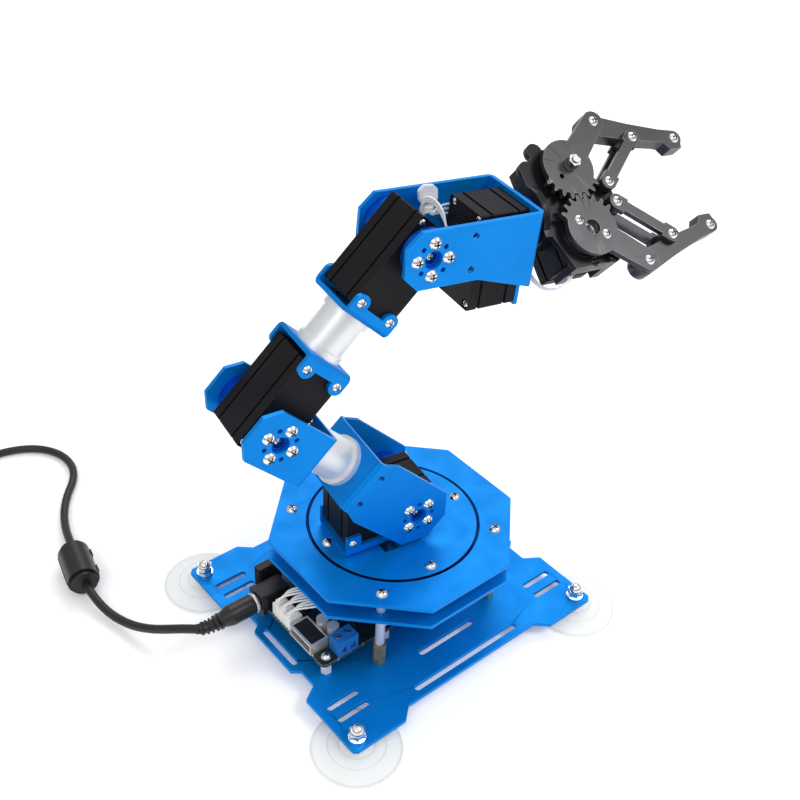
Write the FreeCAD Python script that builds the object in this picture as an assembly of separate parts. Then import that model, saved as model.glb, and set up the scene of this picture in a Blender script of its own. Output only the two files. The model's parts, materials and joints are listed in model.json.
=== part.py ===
import FreeCAD, Part
import math
import os

from FreeCAD import Matrix, Placement, Rotation, Vector

# Desktop robot arm with six servo joints, all sizes in millimetres.
# The origin is on the table under the turntable axis.  +Z is up, +X is the
# base's long direction, which is the arm's straight-ahead direction.

# ---- pose of the arm as it stands -------------------------------------------
YAW = -9.5                      # turntable angle about +Z
UPPER_ARM_ANGLE = 135.5         # from straight ahead, towards up
FOREARM_ANGLE = 45.5
WRIST_ANGLE = -4.0
ROLL_ANGLE = 38.2               # gripper about its own long axis
JAW_ANGLE = 40.8                # each jaw arm, outwards from straight ahead

# ---- sheet metal ----------------------------------------------------------------
SHEET = 2.0
BEND = 3.0                      # outer radius of a bend
CLEAR = 0.3                     # gap between faces that move past each other

# ---- base plate -------------------------------------------------------------------
BASE_TOP = 7.7
BASE_HALF_X = 80.0
BASE_HALF_Y = 73.2
CUP_X = 73.8
CUP_Y = 66.7
CUP_RADIUS = 22.2
CUP_HUB_RADIUS = 7.0
STUD_RADIUS = 2.0
STANDOFF = 37.0                 # half spacing of the deck pillars
SLOT_WIDTH = 3.2
SLOT_HALF = 9.2                 # half length of a corner slot
SLOT_X = 65.8
SLOT_INNER_Y = 45.4
SLOT_OUTER_Y = 53.8

# ---- decks ------------------------------------------------------------------------
DECK_HALF = 60.0                # across-flats half width of the octagon
DECK_CORNER = 24.85
TOP_DECK = 55.4                 # top face of the upper deck
MID_DECK = 44.5                 # top face of the lower deck
STANDOFF_TOP = 21.2
DISC_RADIUS = 43.2
DISC_HOLE = 44.4

# ---- servo ------------------------------------------------------------------------
SERVO_FRONT = 11.4              # shaft to the near end
SERVO_TAIL = 35.2               # shaft to the far end
SERVO_HALF = 12.36              # half thickness
SERVO_WIDTH = 12.7              # half width along the shaft
SERVO_HOLE_TAIL = 32.6
SERVO_HOLE_FRONT = -8.8
SERVO_HOLE_SIDE = 9.7
HORN_RADIUS = 11.5
HORN_IN = 13.3
FORK_IN = 19.1                  # inner face of a fork plate
FORK_OUT = FORK_IN + SHEET
HORN_SCREW_RING = 7.6
HORN_BORE = 4.3
HORN_SEAT = 17.2                # where the shaft's own screw sits in a horn

# ---- arm --------------------------------------------------------------------------
SHOULDER = (1.6, 73.8)          # (forward, up) in the arm's own plane
UPPER_ARM = 101.8
FOREARM = 101.1
SHOULDER_WEB = 45.5             # shaft to the outer face of the fork's web
ELBOW_WEB = 26.0
SERVO_WEB = 39.6                # shaft to the outer face of a servo bracket's web
ROLL_WEB = 55.2                 # wrist shaft to the outer face of the long bracket's web
ROLL_SERVO_CENTRE = ROLL_WEB - SHEET - SERVO_WIDTH

# ---- gripper ----------------------------------------------------------------------
GEAR_FORWARD = 83.4             # wrist shaft to the gear centres
GEAR_SIDE = 15.27               # half spacing of the gears, their pitch radius
GEAR_TOP = 15.4                 # top face above the roll axis
GEAR_THICK = 3.0
GEAR_TEETH = 22
JAW_ARM = 31.0
LINK_FORWARD = 19.0             # fixed link pin from its gear centre
LINK_INWARD = 10.2
TIP_FORWARD = 46.7
TIP_INWARD = 12.3

# ---- power lead -------------------------------------------------------------------
LEAD = 4.6                      # diameter
JACK_Y = 20.4
JACK_Z = 23.0
JACK_FACE = -71.0

PARTS = {}


def box(x0, x1, y0, y1, z0, z1):
    return Part.makeBox(x1 - x0, y1 - y0, z1 - z0, Vector(x0, y0, z0))


def cylinder(radius, base, axis, height):
    return Part.makeCylinder(radius, height, Vector(*base), Vector(*axis))


def cone(r0, r1, base, axis, height):
    return Part.makeCone(r0, r1, height, Vector(*base), Vector(*axis))


def prism(points, low, high):
    """A polygon in X and Y, extruded along Z."""
    corners = [Vector(x, y, low) for x, y in points]
    wire = Part.makePolygon(corners + corners[:1])
    return Part.Face(wire).extrude(Vector(0, 0, high - low))


def side_prism(points, low, high):
    """A polygon in X and Z, extruded along Y."""
    corners = [Vector(x, low, z) for x, z in points]
    wire = Part.makePolygon(corners + corners[:1])
    return Part.Face(wire).extrude(Vector(0, high - low, 0))


def slot(x, y, half, width, low, high, along_x=True):
    """A round-ended slot cutter."""
    reach = half - width / 2
    if along_x:
        body = box(x - reach, x + reach, y - width / 2, y + width / 2, low, high)
        ends = ((x - reach, y), (x + reach, y))
    else:
        body = box(x - width / 2, x + width / 2, y - reach, y + reach, low, high)
        ends = ((x, y - reach), (x, y + reach))
    for end in ends:
        body = body.fuse(cylinder(width / 2, (*end, low), (0, 0, 1), high - low))
    return body


def fuse_all(shapes):
    return shapes[0].multiFuse(shapes[1:]).removeSplitter()


def cut_all(shape, tools):
    return shape.cut(Part.makeCompound(tools)).removeSplitter()


def corners_of(x, y):
    return [(sx * x, sy * y) for sx in (-1, 1) for sy in (-1, 1)]


def placement(origin, x_axis, y_axis):
    """Placement whose local X and Y lie along the two given directions."""
    x_dir = Vector(*x_axis).normalize()
    y_dir = Vector(*y_axis).normalize()
    z_dir = x_dir.cross(y_dir)
    matrix = Matrix(
        x_dir.x, y_dir.x, z_dir.x, origin[0],
        x_dir.y, y_dir.y, z_dir.y, origin[1],
        x_dir.z, y_dir.z, z_dir.z, origin[2],
        0, 0, 0, 1,
    )
    return Placement(matrix)


TURNED = Placement(Vector(0, 0, 0), Rotation(Vector(0, 0, 1), YAW))


def arm_frame(forward, up, angle):
    """Local X along a direction in the arm's plane, local Y along the shafts."""
    turn = Rotation(Vector(0, -1, 0), angle)
    return TURNED * Placement(Vector(forward, 0, up), turn)


def placed(shape, frame):
    moved = shape.copy()
    moved.Placement = frame * moved.Placement
    return moved


def add(node, *shapes):
    """Collect the solids of a node."""
    solids = []
    for shape in shapes:
        solids.extend(shape.Solids)
    PARTS.setdefault(node, []).extend(solids)


def pan_screw(head, shank, length, point, axis):
    """A pan-head screw: domed head standing on the point, shank going in."""
    up = Vector(*axis).normalize()
    base = Vector(*point)
    height = 0.62 * head
    dome = Part.makeSphere(head * 1.12, base - up * (head * 1.12 - height), up)
    body = Part.makeCylinder(head, height, base, up).common(dome)
    pin = Part.makeCylinder(shank, length + 0.2, base - up * length, up)
    reach = 0.55 * head
    slit = 0.13 * head
    cross = box(-reach, reach, -slit, slit, 0, height).fuse(
        box(-slit, slit, -reach, reach, 0, height)
    )
    cross.Placement = Placement(base + up * height * 0.45, Rotation(Vector(0, 0, 1), up))
    return body.fuse(pin).cut(cross).removeSplitter()


def hexagon(across_flats, base, axis, height):
    radius = across_flats / math.sqrt(3)
    points = []
    for k in range(6):
        angle = math.radians(60 * k)
        points.append(Vector(radius * math.cos(angle), radius * math.sin(angle), 0))
    body = Part.Face(Part.makePolygon(points + points[:1])).extrude(Vector(0, 0, height))
    body.Placement = Placement(Vector(*base), Rotation(Vector(0, 0, 1), Vector(*axis)))
    return body


# ---- base: plate, suction cups, pillars and decks ----------------------------------
def base_plate():
    tab_side = 34.9             # corner tab ends here on the X sides
    tab_front = 49.4            # and here on the Y sides
    recess_x = 71.65
    recess_y = 67.25
    quarter = [
        (recess_x + 4.25, 16.0),
        (recess_x, 19.2),
        (recess_x, 29.6),
        (BASE_HALF_X, tab_side),
        (BASE_HALF_X, BASE_HALF_Y - 2),
        (BASE_HALF_X - 2, BASE_HALF_Y),
        (tab_front, BASE_HALF_Y),
        (tab_front - 6.8, recess_y),
    ]
    outline = list(quarter)
    outline += [(-x, y) for x, y in reversed(quarter)]
    outline += [(-x, -y) for x, y in quarter]
    outline += [(x, -y) for x, y in reversed(quarter)]
    low = BASE_TOP - SHEET
    plate = prism(outline, low, BASE_TOP)
    tools = []
    for x, y in corners_of(SLOT_X, SLOT_INNER_Y) + corners_of(SLOT_X, SLOT_OUTER_Y):
        tools.append(slot(x, y, SLOT_HALF, SLOT_WIDTH, low - 1, BASE_TOP + 1))
    for side in (-1, 1):
        tools.append(slot(side * 71.2, 0, 14.0, SLOT_WIDTH, low - 1, BASE_TOP + 1, False))
        tools.append(slot(0, side * 61.9, 34.0, SLOT_WIDTH, low - 1, BASE_TOP + 1))
        tools.append(slot(0, side * 46.3, 18.0, SLOT_WIDTH, low - 1, BASE_TOP + 1))
    for x, y in corners_of(CUP_X, CUP_Y):
        tools.append(cylinder(STUD_RADIUS + 0.15, (x, y, low - 1), (0, 0, 1), SHEET + 2))
    for x, y in corners_of(STANDOFF, STANDOFF):
        tools.append(cylinder(1.6, (x, y, low - 1), (0, 0, 1), SHEET + 2))
    add("base_plate", cut_all(plate, tools))


def suction_cup(x, y):
    """Thin flared skirt under a thick neck, with the moulded stud in it."""
    hub = BASE_TOP - SHEET
    profile = [
        (0, 1.8), (12.0, 1.3), (CUP_RADIUS - 0.8, 0.0), (CUP_RADIUS, 0.0), (CUP_RADIUS, 0.6),
        (14.0, 2.7), (CUP_HUB_RADIUS + 1, 4.2), (CUP_HUB_RADIUS, hub), (0, hub),
    ]
    points = [Vector(r, 0, z) for r, z in profile]
    face = Part.Face(Part.makePolygon(points + points[:1]))
    cup = face.revolve(Vector(0, 0, 0), Vector(0, 0, 1), 360)
    stud = cylinder(STUD_RADIUS, (0, 0, hub - 0.5), (0, 0, 1), 7.6)
    cup = cup.fuse(stud).removeSplitter()
    cup.translate(Vector(x, y, 0))
    return cup


def acorn_nut(x, y):
    """Dome nut turned over the stud."""
    low = BASE_TOP + 1.2
    body = hexagon(7.0, (x, y, low), (0, 0, 1), 4.2)
    dome = Part.makeSphere(3.3, Vector(x, y, low + 4.0))
    dome = dome.common(cylinder(3.3, (x, y, low + 3.9), (0, 0, 1), 4))
    bore = cylinder(STUD_RADIUS + 0.05, (x, y, low - 1), (0, 0, 1), 6.6)
    return body.fuse(dome).cut(bore).removeSplitter()


def cups_and_nuts():
    for x, y in corners_of(CUP_X, CUP_Y):
        add("suction_cups", suction_cup(x, y))
        ring = cylinder(4.3, (x, y, BASE_TOP), (0, 0, 1), 1.2)
        hole = cylinder(STUD_RADIUS + 0.15, (x, y, BASE_TOP - 1), (0, 0, 1), 4)
        add("cup_washers", ring.cut(hole))
        add("acorn_nuts", acorn_nut(x, y))


def octagon():
    wide = DECK_HALF
    near = DECK_CORNER
    return [
        (wide, -near), (wide, near), (near, wide), (-near, wide),
        (-wide, near), (-wide, -near), (-near, -wide), (near, -wide),
    ]


def decks():
    low = TOP_DECK - SHEET
    top = prism(octagon(), low, TOP_DECK)
    mid = prism(octagon(), MID_DECK - SHEET, MID_DECK)
    holes_top = [cylinder(DISC_HOLE, (0, 0, low - 1), (0, 0, 1), SHEET + 2)]
    holes_mid = [cylinder(7.2, (0, 0, MID_DECK - SHEET - 1), (0, 0, 1), SHEET + 2)]
    for x, y in corners_of(STANDOFF, STANDOFF):
        holes_top.append(cylinder(1.6, (x, y, low - 1), (0, 0, 1), SHEET + 2))
        holes_mid.append(cylinder(1.6, (x, y, MID_DECK - SHEET - 1), (0, 0, 1), SHEET + 2))
    mid = cut_all(mid, holes_mid)
    add("lower_deck", mid)
    add("upper_deck", cut_all(top, holes_top))


def pillars():
    for x, y in corners_of(STANDOFF, STANDOFF):
        hexa = hexagon(6.0, (x, y, BASE_TOP), (0, 0, 1), STANDOFF_TOP - BASE_TOP)
        hexa = hexa.cut(cylinder(1.3, (x, y, BASE_TOP - 1), (0, 0, 1), 6))
        add("brass_standoffs", hexa)
        under = MID_DECK - SHEET
        rod = cylinder(2.4, (x, y, STANDOFF_TOP), (0, 0, 1), under - STANDOFF_TOP)
        ring = cylinder(2.4, (x, y, MID_DECK), (0, 0, 1), TOP_DECK - SHEET - MID_DECK)
        bore = cylinder(1.6, (x, y, under - 8), (0, 0, 1), 30)
        add("pillar_sleeves", rod.cut(bore), ring.cut(bore))
        add("base_screws", pan_screw(3.1, 1.5, 18.0, (x, y, TOP_DECK), (0, 0, 1)))


def slew_bearing():
    """Flat ring on the lower deck that carries the turntable's rim."""
    low = MID_DECK
    high = TOP_DECK - SHEET - CLEAR
    ring = cylinder(34.0, (0, 0, low), (0, 0, 1), high - low)
    bore = cylinder(28.5, (0, 0, low - 1), (0, 0, 1), high - low + 2)
    groove = Part.makeTorus(34.6, 1.6, Vector(0, 0, (low + high) / 2), Vector(0, 0, 1))
    add("slew_bearing", ring.cut(bore).cut(groove))


# ---- servo ------------------------------------------------------------------------
def servo_body():
    """Local X runs along the case to its tail, Y along the shaft."""
    case = box(-SERVO_FRONT, SERVO_TAIL, -SERVO_WIDTH, SERVO_WIDTH, -SERVO_HALF, SERVO_HALF)
    upright = [e for e in case.Edges if abs(e.Vertexes[0].Y - e.Vertexes[1].Y) > 1]
    case = case.makeFillet(1.0, upright)
    tools = []
    # a groove round each end cover, and a rebate at each corner screw
    half = SERVO_HALF
    for side in (-1, 1):
        y = side * (SERVO_WIDTH - 5.6)
        ring = box(-SERVO_FRONT - 1, SERVO_TAIL + 1, y - 0.8, y + 0.8, -half - 1, half + 1)
        core = box(
            -SERVO_FRONT + 0.8, SERVO_TAIL - 0.8, y - 1, y + 1, -half + 0.8, half - 0.8
        )
        tools.append(ring.cut(core))
        for x in (SERVO_HOLE_FRONT, SERVO_HOLE_TAIL):
            for z in (-SERVO_HOLE_SIDE, SERVO_HOLE_SIDE):
                outside = (x, side * (SERVO_WIDTH + 1.0), z)
                tools.append(cylinder(2.3, outside, (0, -side, 0), 2.0))
                tools.append(cylinder(1.15, outside, (0, -side, 0), 7.0))
    case = cut_all(case, tools)
    shaft = cylinder(5.6, (0, -SERVO_WIDTH - 0.5, 0), (0, 1, 0), 2 * SERVO_WIDTH + 1)
    return case.fuse(shaft).removeSplitter()


SERVO = servo_body()


def servo_screws(ends=(SERVO_HOLE_FRONT, SERVO_HOLE_TAIL), sides=(-1, 1)):
    """Corner screws of a servo's end covers, sunk in their rebates."""
    screws = []
    for side in sides:
        for x in ends:
            for z in (-SERVO_HOLE_SIDE, SERVO_HOLE_SIDE):
                seat = side * (SERVO_WIDTH - 1.0)
                screws.append(pan_screw(2.0, 1.0, 4.5, (x, seat, z), (0, side, 0)))
    return screws


def horn(side):
    """Round disc on the shaft that carries a fork plate."""
    low = HORN_IN if side > 0 else -FORK_IN
    disc = cylinder(HORN_RADIUS, (0, low, 0), (0, 1, 0), FORK_IN - HORN_IN)
    tools = [
        cylinder(2.9, (0, side * HORN_SEAT, 0), (0, side, 0), 6),
        cylinder(1.2, (0, low - 1, 0), (0, 1, 0), 8),
    ]
    for angle in range(0, 360, 90):
        x = HORN_SCREW_RING * math.cos(math.radians(angle))
        z = HORN_SCREW_RING * math.sin(math.radians(angle))
        tools.append(cylinder(1.2, (x, low - 1, z), (0, 1, 0), 8))
    return cut_all(disc, tools)


def horn_screws():
    screws = []
    for side in (-1, 1):
        for angle in range(0, 360, 90):
            x = HORN_SCREW_RING * math.cos(math.radians(angle))
            z = HORN_SCREW_RING * math.sin(math.radians(angle))
            screws.append(pan_screw(3.0, 1.15, 6.0, (x, side * FORK_OUT, z), (0, side, 0)))
        screws.append(pan_screw(2.6, 1.1, 3.2, (0, side * HORN_SEAT, 0), (0, side, 0)))
    return screws


def horn_holes():
    """Bore, four screw holes and four spare holes of a fork plate."""
    tools = [cylinder(HORN_BORE, (0, -FORK_OUT - 2, 0), (0, 1, 0), 2 * FORK_OUT + 4)]
    for step in range(8):
        angle = math.radians(45 * step)
        x = HORN_SCREW_RING * math.cos(angle)
        z = HORN_SCREW_RING * math.sin(angle)
        tools.append(cylinder(1.2, (x, -FORK_OUT - 2, z), (0, 1, 0), 2 * FORK_OUT + 4))
    return tools


def far_edges(block, face):
    """The two edges along Z of a block's face at X = face."""
    return [e for e in block.Edges if e.BoundBox.ZLength > 1 and e.BoundBox.XMin > face - 0.1]


def u_section(web, near_end, half_in, low, high):
    """U-shaped sheet, open towards -X, with its web's outer face at X = web."""
    half = half_in + SHEET
    outer = box(near_end, web, -half, half, low, high)
    outer = outer.makeFillet(BEND, far_edges(outer, web))
    inner = box(near_end - 1, web - SHEET, -half_in, half_in, low - 1, high + 1)
    inner = inner.makeFillet(BEND - SHEET, far_edges(inner, web - SHEET))
    return outer.cut(inner)


def fork(web, half, web_half, rear, chamfer, taper_from):
    """Fork on the two horns of a servo, its web carrying a tube."""
    sheet = u_section(web, -rear, FORK_IN, -half, half)
    lower = [
        (-rear, -half + chamfer), (-rear + chamfer, -half), (taper_from, -half),
        (web - 4, -web_half), (web, -web_half),
    ]
    outline = lower + [(x, -z) for x, z in reversed(lower)]
    mask = side_prism(outline, -FORK_OUT - 1, FORK_OUT + 1)
    return sheet.common(mask)


def tail_bracket():
    """U bracket over a servo's tail: two bolt lobes on each side plate."""
    half = 13.6
    half_in = SERVO_WIDTH + 0.1
    sheet = u_section(SERVO_WEB, 26.0, half_in, -half, half)
    recess = SERVO_HOLE_TAIL + 0.8
    lobe = 4.1
    lobe_low = SERVO_HOLE_SIDE - lobe
    window = side_prism(
        [(20, -lobe_low), (recess, -lobe_low), (recess, lobe_low), (20, lobe_low)],
        -half_in - SHEET - 1, half_in + SHEET + 1,
    )
    sheet = sheet.cut(window)
    for z in (-1, 1):
        end = box(20, SERVO_HOLE_TAIL, -20, 20, z * SERVO_HOLE_SIDE - 5, z * SERVO_HOLE_SIDE + 5)
        round_end = cylinder(lobe, (SERVO_HOLE_TAIL, -20, z * SERVO_HOLE_SIDE), (0, 1, 0), 40)
        sheet = sheet.cut(end.cut(round_end))
    tools = []
    for z in (-SERVO_HOLE_SIDE, SERVO_HOLE_SIDE):
        tools.append(cylinder(1.3, (SERVO_HOLE_TAIL, -20, z), (0, 1, 0), 40))
    return cut_all(sheet, tools)


def tail_bolts():
    bolts = []
    for side in (-1, 1):
        for z in (-SERVO_HOLE_SIDE, SERVO_HOLE_SIDE):
            point = (SERVO_HOLE_TAIL, side * (SERVO_WIDTH + 0.1 + SHEET), z)
            bolts.append(pan_screw(2.2, 1.1, 6.0, point, (0, side, 0)))
    return bolts


def flanged_tube(start, end, body_radius, flange_radius, flange):
    """Turned tube between two webs, with a collar at each end."""
    tube = cylinder(body_radius, (start, 0, 0), (1, 0, 0), end - start)
    tube = tube.fuse(cylinder(flange_radius, (start, 0, 0), (1, 0, 0), flange))
    tube = tube.fuse(cylinder(flange_radius, (end - flange, 0, 0), (1, 0, 0), flange))
    bore = cylinder(body_radius - 1.6, (start - 1, 0, 0), (1, 0, 0), end - start + 2)
    return tube.cut(bore).removeSplitter()


def web_screws(web, ring, inward):
    """Three screws that hold a tube's collar to a web."""
    screws = []
    holes = []
    for angle in (90, 210, 330):
        y = ring * math.cos(math.radians(angle))
        z = ring * math.sin(math.radians(angle))
        holes.append(cylinder(1.1, (web - 6, y, z), (1, 0, 0), 9))
        screws.append(pan_screw(1.7, 1.0, 4.0, (web + inward * SHEET, y, z), (inward, 0, 0)))
    return screws, holes


# ---- turntable ----------------------------------------------------------------------
def base_servo():
    """Servo under the lower deck, its shaft up through the deck."""
    centre = MID_DECK - SHEET - SERVO_WIDTH
    frame = placement((0, 0, centre), (1, 0, 0), (0, 0, 1))
    shaft = cylinder(5.6, (0, SERVO_WIDTH, 0), (0, 1, 0), 1.9)
    add("base_servo", placed(SERVO.fuse(shaft).removeSplitter(), frame))
    for screw in servo_screws(sides=(-1,)):
        add("base_screws", placed(screw, frame))
    hub_low = MID_DECK + 0.3
    hub = cylinder(HORN_RADIUS, (0, 0, hub_low), (0, 0, 1), TOP_DECK - SHEET - hub_low)
    add("base_hub", hub)


def turntable():
    disc = cylinder(DISC_RADIUS, (0, 0, TOP_DECK - SHEET), (0, 0, 1), SHEET)
    tools = [box(-15.5, -7.0, -19.3, -10.0, TOP_DECK - SHEET - 1, TOP_DECK + 1)]
    ring_low = MID_DECK + 1.0
    ring = cylinder(40.6, (0, 0, ring_low), (0, 0, 1), TOP_DECK - SHEET - ring_low)
    ring = ring.cut(cylinder(34.6, (0, 0, ring_low - 1), (0, 0, 1), 12))
    for angle in range(0, 360, 90):
        x = 37.4 * math.cos(math.radians(angle))
        y = 37.4 * math.sin(math.radians(angle))
        tools.append(cylinder(1.6, (x, y, MID_DECK), (0, 0, 1), 20))
        screw = pan_screw(3.0, 1.5, 7.0, (x, y, TOP_DECK), (0, 0, 1))
        add("disc_screws", placed(screw, TURNED))
    add("turntable_disc", placed(cut_all(disc, tools), TURNED))
    add("slew_ring", placed(cut_all(ring, tools[1:]), TURNED))


def shoulder_mount():
    """Upright U bracket on the disc, bolted to the shoulder servo's case."""
    forward, up = SHOULDER
    frame = TURNED * placement((forward, 0, up), (0, 0, -1), (0, 1, 0))
    web = up - TOP_DECK
    half_in = SERVO_WIDTH + 0.1
    rear = -SERVO_HOLE_TAIL - 3.4
    front = -SERVO_HOLE_FRONT + 3.4
    sheet = u_section(web, 5.6, half_in, rear, front)
    wall = HORN_RADIUS + 0.8    # the side walls stay this far below the shaft
    window = side_prism(
        [(0, rear + 7.6), (wall, rear + 7.6), (wall, front + 1), (0, front + 1)],
        -half_in - SHEET - 1, half_in + SHEET + 1,
    )
    tools = [window, cylinder(1.3, (SERVO_HOLE_SIDE, -20, -SERVO_HOLE_TAIL), (0, 1, 0), 40)]
    add("shoulder_bracket", placed(cut_all(sheet, tools), frame))
    for side in (-1, 1):
        point = (SERVO_HOLE_SIDE, side * (half_in + SHEET), -SERVO_HOLE_TAIL)
        bolt = pan_screw(2.2, 1.1, 6.0, point, (0, side, 0))
        add("turntable_screws", placed(bolt, frame))
    servo_frame = arm_frame(forward, up, 180)
    add("shoulder_servo", placed(SERVO, servo_frame))
    upper_tail = [s for s in servo_screws(ends=(SERVO_HOLE_TAIL,)) if s.BoundBox.ZMax < 0]
    for screw in servo_screws(ends=(SERVO_HOLE_FRONT,)) + upper_tail:
        add("turntable_screws", placed(screw, servo_frame))


# ---- arm ----------------------------------------------------------------------------
def elbow_point():
    angle = math.radians(UPPER_ARM_ANGLE)
    return (
        SHOULDER[0] + UPPER_ARM * math.cos(angle),
        SHOULDER[1] + UPPER_ARM * math.sin(angle),
    )


def wrist_point():
    angle = math.radians(FOREARM_ANGLE)
    forward, up = elbow_point()
    return (forward + FOREARM * math.cos(angle), up + FOREARM * math.sin(angle))


def upper_arm():
    at_shoulder = arm_frame(*SHOULDER, UPPER_ARM_ANGLE)
    at_elbow = arm_frame(*elbow_point(), UPPER_ARM_ANGLE + 180)
    screws_low, holes_low = web_screws(SHOULDER_WEB, 9.8, -1)
    screws_high, holes_high = web_screws(ELBOW_WEB, 9.8, -1)
    lower = fork(SHOULDER_WEB, 17.2, 14.3, 15.0, 10.2, 34.0)
    tools = horn_holes() + holes_low
    for z in (-7.8, 7.8):
        tools.append(cylinder(1.7, (38.6, -FORK_OUT - 1, z), (0, 1, 0), 2 * FORK_OUT + 2))
    add("shoulder_fork", placed(cut_all(lower, tools), at_shoulder))
    upper = fork(ELBOW_WEB, 13.6, 13.6, 17.0, 6.6, 20.0)
    add("elbow_fork", placed(cut_all(upper, horn_holes() + holes_high), at_elbow))
    tube = flanged_tube(SHOULDER_WEB, UPPER_ARM - ELBOW_WEB, 10.8, 12.3, 3.0)
    far = Placement(Vector(UPPER_ARM, 0, 0), Rotation(Vector(0, 1, 0), 180))
    holes = holes_low + [placed(hole, far) for hole in holes_high]
    add("upper_tube", placed(cut_all(tube, holes), at_shoulder))
    for frame, extra in ((at_shoulder, screws_low), (at_elbow, screws_high)):
        for side in (-1, 1):
            add("upper_arm_horns", placed(horn(side), frame))
        for screw in horn_screws() + extra:
            add("upper_arm_screws", placed(screw, frame))


def forearm():
    at_elbow = arm_frame(*elbow_point(), FOREARM_ANGLE)
    at_wrist = arm_frame(*wrist_point(), FOREARM_ANGLE + 180)
    screws, holes = web_screws(SERVO_WEB, 9.3, -1)
    for end, frame in (("elbow", at_elbow), ("wrist", at_wrist)):
        add(end + "_bracket", placed(cut_all(tail_bracket(), holes), frame))
        add(end + "_servo", placed(SERVO, frame))
        for bolt in tail_bolts() + screws + servo_screws(ends=(SERVO_HOLE_FRONT,)):
            add("forearm_screws", placed(bolt, frame))
    tube = flanged_tube(SERVO_WEB, FOREARM - SERVO_WEB, 10.2, 11.4, 3.4)
    far = Placement(Vector(FOREARM, 0, 0), Rotation(Vector(0, 1, 0), 180))
    add("forearm_tube", placed(cut_all(tube, holes + [placed(h, far) for h in holes]), at_elbow))


def wrist():
    frame = arm_frame(*wrist_point(), WRIST_ANGLE)
    rear = 13.4
    half = 13.5
    drop = 23.0
    foot = 36.2
    sheet = u_section(ROLL_WEB, -rear, FORK_IN, -foot, half)
    sides = side_prism(
        [
            (-rear, -half + 6.8), (-rear + 7.2, -half), (24.0, -half), (ROLL_WEB, -drop),
            (ROLL_WEB, half), (-rear + 6.8, half), (-rear, half - 6.8),
        ],
        -FORK_OUT - 1, FORK_OUT + 1,
    )
    tongue = box(ROLL_WEB - SHEET, ROLL_WEB, -12.7, 12.7, -foot, -half)
    sheet = sheet.common(sides.fuse(tongue))
    servo_frame = frame * placement((ROLL_SERVO_CENTRE, 0, 0), (0, 0, -1), (1, 0, 0))
    tools = horn_holes() + [cylinder(6.4, (ROLL_WEB - 4, 0, 0), (1, 0, 0), 6)]
    for z in (-7.8, 7.8):
        tools.append(cylinder(1.7, (19.9, -FORK_OUT - 1, z), (0, 1, 0), 2 * FORK_OUT + 2))
    mounts = []
    for down in (SERVO_HOLE_FRONT, SERVO_HOLE_TAIL):
        for side in (-SERVO_HOLE_SIDE, SERVO_HOLE_SIDE):
            tools.append(cylinder(1.3, (ROLL_WEB - 4, side, -down), (1, 0, 0), 6))
            mounts.append(pan_screw(2.2, 1.1, 6.0, (ROLL_WEB, side, -down), (1, 0, 0)))
    add("roll_bracket", placed(cut_all(sheet, tools), frame))
    add("roll_servo", placed(SERVO, servo_frame))
    for side in (-1, 1):
        add("wrist_horns", placed(horn(side), frame))
    for screw in horn_screws() + mounts:
        add("wrist_screws", placed(screw, frame))
    for screw in servo_screws(sides=(-1,)):
        add("wrist_screws", placed(screw, servo_frame))


# ---- gripper ------------------------------------------------------------------------
GEAR_LOW = GEAR_TOP - GEAR_THICK
FINGER_TOP = GEAR_LOW - CLEAR
FINGER_LOW = FINGER_TOP - 7.0
FRAME_TOP = 9.4
FRAME_LOW = 6.2
LINK_THICK = 2.8
PIN = 1.5
FLANGE = 65.0                   # front face of the gripper's rear flange
ROLL_HUB_RADIUS = 10.2
DRIVE_SCREW_RING = 7.3
END_WALL_SCREWS = (GEAR_FORWARD - 1.5, GEAR_FORWARD + 9.2)
END_WALL_MIDDLE = -29.4


def gripper_frame_placement():
    frame = arm_frame(*wrist_point(), WRIST_ANGLE)
    return frame * Placement(Vector(0, 0, 0), Rotation(Vector(1, 0, 0), ROLL_ANGLE))


def gear(side, phase):
    """Toothed sector and round back of one jaw arm, about its own centre."""
    pitch = GEAR_SIDE
    tip = pitch + 1.15
    root = pitch - 1.5
    step = 360.0 / GEAR_TEETH
    body = cylinder(13.2, (0, 0, GEAR_LOW), (0, 0, 1), GEAR_THICK)
    sector = []
    for tooth in range(-4, 4):
        centre = math.radians(-90 + (tooth + phase) * step)
        widths = ((root - 0.8, 0.33), (root, 0.30), (pitch, 0.205), (tip, 0.10))
        left = []
        right = []
        for radius, share in widths:
            half = math.radians(share * step)
            left.append((radius * math.cos(centre - half), radius * math.sin(centre - half)))
            right.append((radius * math.cos(centre + half), radius * math.sin(centre + half)))
        sector.append(prism(left + right[::-1], GEAR_LOW, GEAR_TOP))
    start = -90 + (-4.45 + phase) * step
    rim = Part.makeCylinder(root, GEAR_THICK, Vector(0, 0, GEAR_LOW), Vector(0, 0, 1), 7.9 * step)
    rim.rotate(Vector(0, 0, 0), Vector(0, 0, 1), start)
    shape = fuse_all([body, rim] + sector)
    if side < 0:
        shape = shape.mirror(Vector(0, 0, 0), Vector(0, 1, 0))
    return shape


def bar(start, end, radius_start, radius_end, low, high):
    """Flat bar with round ends between two points in X and Y."""
    dx = end[0] - start[0]
    dy = end[1] - start[1]
    length = math.hypot(dx, dy)
    nx = -dy / length
    ny = dx / length
    corners = [
        (start[0] + nx * radius_start, start[1] + ny * radius_start),
        (end[0] + nx * radius_end, end[1] + ny * radius_end),
        (end[0] - nx * radius_end, end[1] - ny * radius_end),
        (start[0] - nx * radius_start, start[1] - ny * radius_start),
    ]
    shapes = [
        prism(corners, low, high),
        cylinder(radius_start, (*start, low), (0, 0, 1), high - low),
        cylinder(radius_end, (*end, low), (0, 0, 1), high - low),
    ]
    return fuse_all(shapes)


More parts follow.
